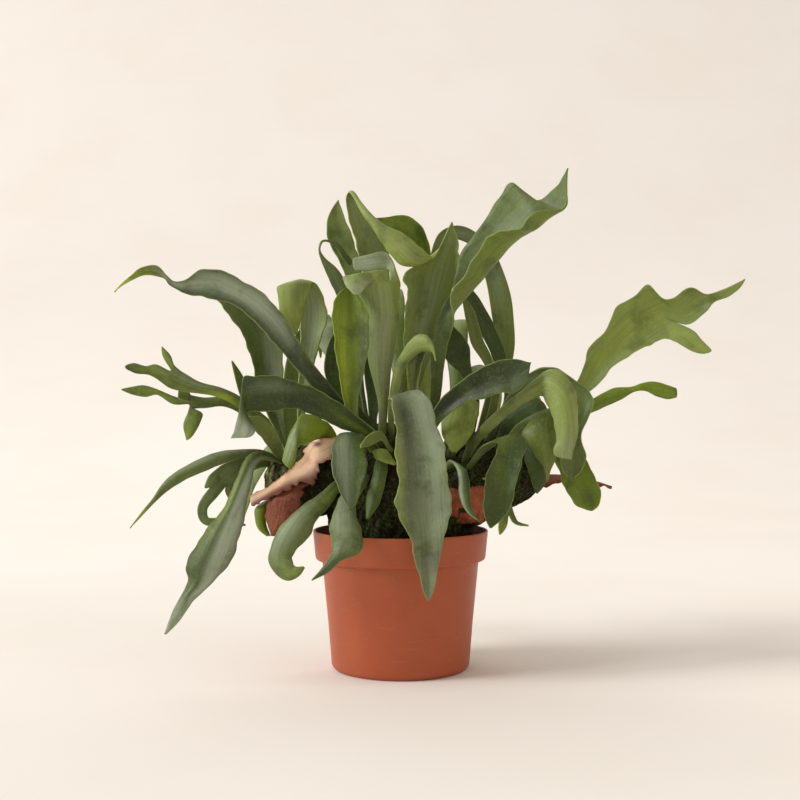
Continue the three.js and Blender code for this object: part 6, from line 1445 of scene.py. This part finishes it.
@dataclass(frozen=True)
class Shield:
    """A dead shield frond that wraps a lump of the crown.

    The way that it faces and its lower and upper edge at either end are in degrees round the lump.
    """

    name: str
    tone: Tone
    lump: int
    turn: tuple[float, float]
    low: tuple[float, float]
    high: tuple[float, float]
    off: tuple[float, float]
    flare: float
    crumple: float
    torn: float
    seed: int
    rows: int = 46
    columns: int = 66
    thick: float = 0.9
    fibres_on_mm: float = 31.0

    def surface(self) -> Surface:
        """Builds the shield.

        Each point lies on the lump's ellipsoid, moved outwards by an offset that grows at the rim, by long
        creases and by fine papery crumples. The upper and lower edges are moved by sines and a finer noise,
        which tears them.

        Returns:
            The closed surface.
        """
        centre, radii = LUMPS[self.lump, :3], LUMPS[self.lump, 3:]
        t, s = np.meshgrid(np.linspace(0, 1, self.rows), np.linspace(0, 1, self.columns), indexing="ij")
        torn = self.torn * (np.sin(9 * s + self.seed) + 0.3 * np.sin(23 * s + 2 * self.seed))
        torn += 0.45 * self.torn * waves(np.stack([s.ravel()], -1), 0.05, self.seed, 8).reshape(s.shape)
        turn = np.radians(self.turn[0] + (self.turn[1] - self.turn[0]) * s)
        ends = 0.8 * self.torn * waves(np.stack([t.ravel()], -1), 0.16, self.seed + 5, 6).reshape(s.shape)
        turn = turn + np.radians(ends) * np.abs(2 * s - 1) ** 6 * np.sign(s - 0.5)
        low = self.low[0] + (self.low[1] - self.low[0]) * s
        high = self.high[0] + (self.high[1] - self.high[0]) * s
        rise = np.radians(low + (high - low) * t + np.where(t > 0.5, 1, -0.8) * torn * np.abs(2 * t - 1) ** 3)
        rim = np.maximum(t, np.abs(2 * s - 1)) ** 4
        crease = self.crumple * np.sin(14 * s + 5 * t + self.seed) * np.cos(6 * t + 3 * s)
        off = self.off[0] + (self.off[1] - self.off[0]) * s + self.flare * rim + crease
        out = np.stack([np.cos(turn) * np.cos(rise), np.sin(turn) * np.cos(rise), np.sin(rise)], -1)
        points = (centre + (radii + off[..., None]) * out).reshape(-1, 3)
        fine = waves(points, 9, self.seed + 1) * 0.55 + waves(points, 4, self.seed + 2, 9) * 0.22
        points += out.reshape(-1, 3) * (fine * (0.4 + rim.ravel()))[:, None]
        quads = grid_faces(np.arange(s.size).reshape(s.shape))
        width = radii.mean() * np.radians(self.turn[1] - self.turn[0])
        height = radii.mean() * np.radians(self.high[0] - self.low[0] + self.high[1] - self.low[1]) / 2
        margin = np.minimum((0.5 - np.abs(t - 0.5)) * height, (0.5 - np.abs(s - 0.5)) * width).ravel()
        own = np.full(s.size, self.fibres_on_mm * self.seed)
        facts = {"blade": np.stack([s.ravel() * width, t.ravel() * height, own], -1) * MM, "margin": margin}
        return thickened(points, quads, np.full(len(points), self.thick), facts)


SHIELDS = (
    Shield("shield_brown_right", Tone.BRICK, lump=4, turn=(246, 312), low=(-52, -46), high=(10, 12),
           off=(1.6, 1.6), flare=2, crumple=0.5, torn=1.5, seed=14),
    Shield("shield_back", Tone.TAN, lump=0, turn=(42, 142), low=(-16, -16), high=(26, 24), off=(3.2, 3.2),
           flare=5.2, crumple=1.0, torn=4, seed=21),
)


def tubes(paths: np.ndarray, radius: np.ndarray, sides: int = 5) -> Surface:
    """Round threads along many paths at once.

    Around each place on a path lies a ring of points at the thread's radius, square to the path, and the
    first and last ring close in a point.

    Args:
        paths: Threads by places by three coordinates.
        radius: Radius at each place of each thread.
        sides: Points in a ring.

    Returns:
        One closed surface for each thread, all in one mesh.
    """
    count, steps = paths.shape[:2]
    along = unit(np.gradient(paths, axis=1))
    across = unit(np.cross(along, np.array([0.31, 0.17, 0.93])))
    other = np.cross(along, across)
    turn = np.linspace(0, 2 * np.pi, sides, endpoint=False)
    ring = across[:, :, None] * np.cos(turn)[:, None] + other[:, :, None] * np.sin(turn)[:, None]
    points = paths[:, :, None] + ring * radius[:, :, None, None]
    ids = np.arange(count * steps * sides).reshape(count, steps, sides)
    wrapped = np.concatenate([ids, ids[..., :1]], -1)
    quads = np.stack([wrapped[:, :-1, :-1], wrapped[:, :-1, 1:], wrapped[:, 1:, 1:], wrapped[:, 1:, :-1]], -1)
    caps = [ids[:, 0, ::-1], ids[:, -1]]
    faces = quads.reshape(-1, 4).tolist() + caps[0].tolist() + caps[1].tolist()
    return Surface(points.reshape(-1, 3), faces)


GOLDEN = (1 + 5 ** 0.5) / 2
BALL = unit(np.array([
    (-1, GOLDEN, 0), (1, GOLDEN, 0), (-1, -GOLDEN, 0), (1, -GOLDEN, 0), (0, -1, GOLDEN), (0, 1, GOLDEN),
    (0, -1, -GOLDEN), (0, 1, -GOLDEN), (GOLDEN, 0, -1), (GOLDEN, 0, 1), (-GOLDEN, 0, -1),
    (-GOLDEN, 0, 1)], float))
BALL_FACES = np.array([
    (0, 11, 5), (0, 5, 1), (0, 1, 7), (0, 7, 10), (0, 10, 11), (1, 5, 9), (5, 11, 4), (11, 10, 2), (10, 7, 6),
    (7, 1, 8), (3, 9, 4), (3, 4, 2), (3, 2, 6), (3, 6, 8), (3, 8, 9), (4, 9, 5), (2, 4, 11), (6, 2, 10),
    (8, 6, 7), (9, 8, 1)])


def crumbs(places: np.ndarray, sizes: np.ndarray, seed: int) -> Surface:
    """Rough crumbs: twenty-sided balls, each pushed out of round by a seeded draw, at the places given."""
    draw = np.random.default_rng(seed)
    knobs = draw.uniform(0.6, 1.25, (len(places), len(BALL), 1))
    stretch = draw.uniform(0.6, 1.3, (len(places), 1, 3))
    points = places[:, None] + BALL[None] * knobs * stretch * sizes[:, None, None]
    faces = BALL_FACES[None] + len(BALL) * np.arange(len(places))[:, None, None]
    return Surface(points.reshape(-1, 3), faces.reshape(-1, 3).tolist())


@dataclass
class Crown:
    """The rootstock: rounded lumps fused into one, and the roots that creep over them."""

    voxel: float = 1.5
    lump_rings: int = 48
    lump_sides: int = 96
    roots: int = 520
    root_steps: int = 22
    root_step: float = 2.1
    seed: int = 41
    # The rootstock and its roots are near black: partly their own dark colour, partly painted shade among the
    # fronds
    earth: FibrousEarth = FibrousEarth("rootstock_and_old_roots", "1a150d", "332a1a", "5c4a2c", 1.0, 0.85)
    thread: FibrousEarth = FibrousEarth("living_roots", "261c10", "453622", "6f5c3a", 0.8, 0.5)

    def lump(self, size: np.ndarray) -> Surface:
        """One lump: an ellipsoid of rings with slow knobs and finer roughness, closed at its poles."""
        rises = np.linspace(-np.pi / 2, np.pi / 2, self.lump_rings + 2)[1:-1]
        turns = np.linspace(0, 2 * np.pi, self.lump_sides, endpoint=False)
        up, turn = np.meshgrid(rises, turns, indexing="ij")
        ball = np.stack([np.cos(up) * np.cos(turn), np.cos(up) * np.sin(turn), np.sin(up)], -1).reshape(-1, 3)
        ball = np.vstack([ball, [(0, 0, -1), (0, 0, 1)]])
        knob = 1 + 0.035 * np.sin(7 * ball[:, 0] + 0.1 * size[0]) * np.cos(6 * ball[:, 1] + 2)
        knob += 0.02 * np.sin(11 * ball[:, 2])
        points = size[:3] + size[3:] * ball * knob[:, None]
        return Surface(points, closed_faces(self.lump_rings, self.lump_sides))

    def build(self) -> None:
        """Fuses the lumps, roughens them and lays the roots over them."""
        mesh = joined([self.lump(size) for size in LUMPS]).mesh("lumps")
        draft = placed("lumps", mesh)
        fused = draft.modifiers.new("fused", "REMESH")
        fused.mode, fused.voxel_size = "VOXEL", self.voxel * MM
        solid = draft.evaluated_get(bpy.context.evaluated_depsgraph_get()).to_mesh()
        points = np.empty(len(solid.vertices) * 3)
        solid.vertices.foreach_get("co", points)
        points = points.reshape(-1, 3) / MM
        normals = np.empty(len(solid.vertices) * 3)
        solid.vertices.foreach_get("normal", normals)
        faces = [tuple(face.vertices) for face in solid.polygons]
        bpy.data.objects.remove(draft)
        bpy.data.meshes.remove(mesh)
        height = 0.9 * waves(points, 9, self.seed)
        height += 0.55 * waves(points * (1, 1, 0.45), 3.6, self.seed + 1, 9)
        points = points + normals.reshape(-1, 3) * height[:, None]
        Surface(points, faces).piece("crown_rootstock", self.earth.material(), "crown", "crown")
        self.lay_roots().piece("crown_roots", self.thread.material(), "", "crown")

    def lay_roots(self) -> Surface:
        """Roots that wander over the lumps.

        Each starts on a lump, steps on in a heading that turns by seeded sines and leans down, and after each
        step is put back on the lump's surface, a little proud of it.

        Returns:
            The roots in one mesh.
        """
        draw = np.random.default_rng(self.seed)
        size = LUMPS[draw.integers(0, len(LUMPS), self.roots)]
        here = unit(draw.normal(size=(self.roots, 3)) + np.array([0, -0.4, 0.2]))
        heading = unit(draw.normal(size=(self.roots, 3)) + np.array([0, 0, -1.2]))
        bend, lift = draw.normal(0, 0.35, (self.roots, 3)), draw.uniform(0.1, 1.0, self.roots)
        path = []
        for step in range(self.root_steps):
            proud = lift + 0.5 * np.sin(step * 0.6 + 9 * lift)
            path.append(size[:, :3] + here * (size[:, 3:] + proud[:, None]))
            heading = unit(heading + bend * np.sin(0.5 * step + 7 * lift)[:, None] + np.array([0, 0, -0.12]))
            here = unit(here + heading * (self.root_step / size[:, 3:]))
        paths = np.stack(path, 1)
        radius = draw.uniform(0.28, 0.75, self.roots)[:, None] * np.linspace(1, 0.5, self.root_steps)[None]
        return tubes(paths, radius)


@dataclass
class Pot:
    """Moulded nursery pot: a tapering body with a deeper, wider rim band, drained through six holes."""

    height: float = 96
    base: float = 46.4
    body_top: float = 54.6
    rim_foot: float = 59.2
    rim_top: float = 61
    rim_depth: float = 20
    wall: float = 1.5
    floor: float = 1.9
    edge: float = 0.8
    foot_edge: float = 1.4
    holes: int = 6
    hole_radius: float = 5
    hole_circle: float = 30
    hole_sides: int = 28
    sides: int = 160

    @property
    def foot(self) -> float:
        """Height of the rim band's foot."""
        return self.height - self.rim_depth

    def body_radius(self, z: float) -> float:
        """Outer radius of the body at a height."""
        low = self.base + self.foot_edge
        return low + (self.body_top - low) * z / self.foot

    def turned(self, profile: list[tuple[float, float]]) -> Surface:
        """A profile turned about the axis, closed in a point at either end.

        Args:
            profile: Radius and height, from the axis and back to it.

        Returns:
            The closed surface.
        """
        ring = np.array(profile[1:-1], float)
        turn = np.linspace(0, 2 * np.pi, self.sides, endpoint=False)
        out, up = ring[:, :1], np.repeat(ring[:, 1:], self.sides, 1)
        points = np.stack([out * np.cos(turn), out * np.sin(turn), up], -1)
        ends = [(0, 0, profile[0][1]), (0, 0, profile[-1][1])]
        return Surface(np.vstack([points.reshape(-1, 3), ends]), closed_faces(len(ring), self.sides))

    def rounded(self, corners: list[tuple[float, float, float]]) -> list[tuple[float, float]]:
        """A profile with its corners rounded: at each, a quadratic curve between points one radius away."""
        places = np.array([c[:2] for c in corners], float)
        out = [tuple(places[0])]
        for k in range(1, len(corners) - 1):
            before, after = places[k - 1] - places[k], places[k + 1] - places[k]
            reach = corners[k][2]
            a = places[k] + before / np.linalg.norm(before) * min(reach, np.linalg.norm(before) * 0.45)
            b = places[k] + after / np.linalg.norm(after) * min(reach, np.linalg.norm(after) * 0.45)
            for t in np.linspace(0, 1, 5):
                out.append(tuple((1 - t) ** 2 * a + 2 * t * (1 - t) * places[k] + t * t * b))
        out.append(tuple(places[-1]))
        return out

    def build(self) -> None:
        """Turns the pot, drills the drain holes and dresses it."""
        e, w, step = self.edge, self.wall, self.foot
        profile = self.rounded([
            (0, 0, 0), (30, 0, 0.3), (self.base - 0.6, 0, 1.0), (self.body_radius(3 * e), 3 * e, 1.2),
            (self.body_radius(30), 30, 2), (self.body_top, step - e, 1.0), (self.rim_foot - 0.4, step, 0.8),
            (self.rim_foot + 0.1, step + 1.4, 0.8), (self.rim_top, self.height - 1.6, 1.0),
            (self.rim_top - 0.1, self.height, 0.8), (self.rim_top - w, self.height, 0.5),
            (self.rim_top - w, self.height - 1.2, 0.6), (self.rim_foot - w, step + w, 1.0),
            (self.body_top - w, step + e, 0.6), (self.body_radius(4) - w, 4, 1.0),
            (self.base - 2.4, self.floor, 1.0), (30, self.floor, 0.3), (0, self.floor, 0)])
        shell = self.turned(profile)
        # The wall of a real pot is never quite round or flat: it wanders by a quarter of a millimetre
        wander = 0.22 * waves(shell.points * (1, 1, 0.6), 55, 12) * np.clip(shell.points[:, 2] / 20, 0, 1)
        shell.points[:, :2] += unit(shell.points[:, :2]) * wander[:, None]
        pot = shell.piece("pot_moulding", MouldedPot().material(), "pot", "pot")
        turn = np.arange(self.holes) * 2 * np.pi / self.holes
        centres = np.stack([np.cos(turn), np.sin(turn)], -1) * self.hole_circle
        drills = tubes(
            np.stack([np.array([[x, y, -3.0], [x, y, self.floor + 3.0]]) for x, y in centres]),
            np.full((self.holes, 2), self.hole_radius), self.hole_sides)
        drill = placed("drills", drills.mesh("drills"))
        cut = pot.modifiers.new("drains", "BOOLEAN")
        cut.operation, cut.object, cut.solver = "DIFFERENCE", drill, "EXACT"
        done = bpy.data.meshes.new_from_object(pot.evaluated_get(bpy.context.evaluated_depsgraph_get()))
        pot.modifiers.clear()
        pot.data = done
        bpy.data.objects.remove(drill)


@dataclass
class SoilBed:
    """Peat mix that fills the pot: a rough top with crumbs, and root threads that lie on it."""

    pot: Pot
    top: float = 88
    gap: float = 0.3
    top_rings: int = 60
    crumbs: int = 1500
    threads: int = 260
    seed: int = 7
    earth: FibrousEarth = FibrousEarth("peat_mix", "1c1510", "3d2e22", "7a5c3d", 0.9)
    strand: FibrousEarth = FibrousEarth("peat_fibres", "3b2b1e", "6b5038", "a08257", 0.7)

    def height(self, places: np.ndarray) -> np.ndarray:
        """Height of the rough top at each place: slow swells and finer clods."""
        flat = places[:, :2]
        return self.top + 0.9 * waves(flat, 22, self.seed) + 0.5 * waves(flat, 6, self.seed + 1, 9)

    def build(self) -> None:
        """Fills the pot and strews the crumbs and threads."""
        pot, inset = self.pot, self.pot.wall + self.gap
        inner, rim, foot = pot.body_top - inset, pot.rim_foot - inset, pot.body_radius(4.4) - inset
        profile = [
            (0, 2.2), (foot - 2, 2.2), (foot, 4.6), (inner, pot.foot), (inner, pot.foot + 1.2),
            (rim, pot.foot + 2.4)]
        profile += [(r, self.top) for r in np.linspace(rim + 0.5, 0, self.top_rings)]
        bed = pot.turned(profile)
        upper = bed.points[:, 2] > self.top - 0.1
        bed.points[upper, 2] = self.height(bed.points[upper])
        bed.piece("soil_bed", self.earth.material(), "soil", "soil")
        draw = np.random.default_rng(self.seed)
        turn = draw.uniform(0, 2 * np.pi, self.crumbs)
        far = rim * np.sqrt(draw.uniform(0.15, 0.98, self.crumbs))
        places = np.stack([far * np.cos(turn), far * np.sin(turn), np.zeros(self.crumbs)], -1)
        size = draw.uniform(0.5, 1.9, self.crumbs) ** 1.3
        places[:, 2] = self.height(places) + 0.3 * size
        crumbs(places, size, self.seed).piece("soil_crumbs", self.earth.material(), "", "soil")
        self.strands(draw, rim).piece("soil_fibres", self.strand.material(), "", "soil")

    def strands(self, draw: np.random.Generator, rim: float) -> Surface:
        """Threads on the peat: short arcs that start and end in it and bow up between.

        Args:
            draw: The seeded draw.
            rim: Radius that they stay within.

        Returns:
            The threads in one mesh.
        """
        turn = draw.uniform(0, 2 * np.pi, self.threads)
        far = (rim - 6) * np.sqrt(draw.uniform(0.3, 1, self.threads))
        start = np.stack([far * np.cos(turn), far * np.sin(turn)], -1)
        heading, bow = draw.uniform(0, 2 * np.pi, self.threads), draw.normal(0, 0.9, self.threads)
        t = np.linspace(0, 1, 12)[None]
        length = draw.uniform(6, 16, self.threads)[:, None]
        angle = heading[:, None] + bow[:, None] * t
        flat = start[:, None] + np.stack([np.cos(angle), np.sin(angle)], -1) * (length * t)[..., None]
        away = np.linalg.norm(flat, axis=-1, keepdims=True)
        flat *= np.minimum(1, (rim - 1) / away)
        ground = self.height(flat.reshape(-1, 2)).reshape(flat.shape[:2])
        z = ground - 0.4 + draw.uniform(0.6, 3.2, self.threads)[:, None] * np.sin(np.pi * t)
        radius = draw.uniform(0.18, 0.4, self.threads)[:, None] * (1 - 0.4 * t)
        return tubes(np.concatenate([flat, z[..., None]], -1), radius)


@dataclass(frozen=True)
class SoftBox:
    """A square soft box: where it stands and its side in metres, its power in watts, and its colour."""

    name: str
    at: tuple[float, float, float]
    size: float
    power: float
    colour: str

    def build(self, aim: tuple[float, float, float]) -> None:
        """Sets the box up, turned to what it points at."""
        light = bpy.data.lights.new(self.name, "AREA")
        light.shape, light.size, light.energy = "SQUARE", self.size, self.power
        light.color = linear(self.colour)[:3]
        thing = placed(self.name, light)
        back = unit(np.array(self.at, float) - np.array(aim, float))
        right = unit(np.cross((0.0, 0.0, 1.0), back))
        matrix = np.eye(4)
        matrix[:3] = np.stack([right, np.cross(back, right), back, self.at], -1)
        thing.matrix_world = matrix.T.tolist()


BOXES = (
    SoftBox("key", (-26.4, -7.5, 18.3), 12.0, 6800, "fdfeff"),
    SoftBox("window", (-9.0, -1.6, 2.6), 3.0, 230, "fffaf4"),
    SoftBox("fill", (1.6, -1.4, 0.9), 1.6, 4.5, "ffe0bc"),
    SoftBox("back", (-0.5, 1.1, 1.7), 1.0, 6, "ffffff"),
)


@dataclass
class Studio:
    """Seamless paper, whose sizes are millimetres, soft daylight from the upper left, and the camera."""

    distance: float = 0.84
    eye: float = 0.183
    lens: float = 54.0
    sensor: float = 36.0
    shift: tuple[float, float] = (-0.0006, 0.00625)
    aim: tuple[float, float, float] = (0.0, 0.0, 0.15)
    paper: str = "efeae4"
    paper_shade: str = "ede7df"
    front: float = -3500.0
    bend_from: float = 900.0
    bend_radius: float = 3000.0
    wall_top: float = 5000.0
    half_width: float = 7000.0
    air: str = "fff8ef"
    air_strength: float = 0.55

    def sweep(self) -> None:
        """The paper: flat underfoot, then a quarter circle up into a wall behind."""
        start, radius = self.bend_from, self.bend_radius
        turn = np.linspace(0, np.pi / 2, 40)
        bend = np.stack([start + radius * np.sin(turn), radius * (1 - np.cos(turn))], -1)
        line = np.vstack([[(self.front, 0.0)], bend, [(start + radius, self.wall_top)]])
        x = np.linspace(-self.half_width, self.half_width, 3)
        points = np.stack([
            np.repeat(x[None], len(line), 0), np.repeat(line[:, :1], 3, 1), np.repeat(line[:, 1:], 3, 1)], -1)
        faces = grid_faces(np.arange(points.size // 3).reshape(-1, 3))[:, ::-1]
        mesh = Surface(points.reshape(-1, 3), faces.tolist()).mesh("paper_sweep")
        mesh.shade_smooth()
        material, tree = new_material("matt_background_paper")
        base = over(tree, linear(self.paper), self.paper_shade, noise(tree, place(tree), 180, 3), 0.3, 0.7)
        shader = add(tree, "ShaderNodeBsdfPrincipled", {
            "Base Color": base, "Roughness": 0.95, "Specular IOR Level": 0.1})
        add(tree, "ShaderNodeOutputMaterial", {0: shader.outputs[0]})
        mesh.materials.append(material)
        placed("paper_sweep", mesh)

    def camera(self) -> None:
        """The camera: level, in front, a little above the pot's rim."""
        data = bpy.data.cameras.new("camera")
        data.lens, data.sensor_width = self.lens, self.sensor
        data.shift_x, data.shift_y = self.shift
        data.clip_start, data.clip_end = 0.01, 50
        thing = placed("camera", data)
        thing.location = (0.0, -self.distance, self.eye)
        thing.rotation_euler = (math.pi / 2, 0.0, 0.0)
        bpy.context.scene.camera = thing

    def build(self) -> None:
        """Sets the stage."""
        self.sweep()
        for box in BOXES:
            box.build(self.aim)
        world = bpy.data.worlds.new("studio_air")
        world.use_nodes = True
        tree = world.node_tree
        tree.nodes.clear()
        sky = add(tree, "ShaderNodeBackground", {"Color": linear(self.air), "Strength": self.air_strength})
        add(tree, "ShaderNodeOutputWorld", {0: sky.outputs[0]})
        scene = bpy.context.scene
        scene.world = world
        scene.view_settings.view_transform = "Standard"
        scene.view_settings.look = "None"
        self.camera()


def main() -> None:
    """Builds the plant, its pot and the studio, in that order."""
    logging.basicConfig(level=logging.INFO, format="%(name)s %(message)s")
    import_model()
    pot = Pot()
    pot.build()
    SoilBed(pot).build()
    finishes = {tone: tone.value.material() for tone in Tone}
    Crown().build()
    for frond in FRONDS:
        frond.surface().piece("frond_" + frond.name, finishes[frond.tone], frond.name, SLOTS[frond.tone])
    for shield in SHIELDS:
        shield.surface().piece("dry_" + shield.name, finishes[shield.tone], shield.name, SLOTS[shield.tone])
    Studio().build()


if __name__ == "__main__":
    main()
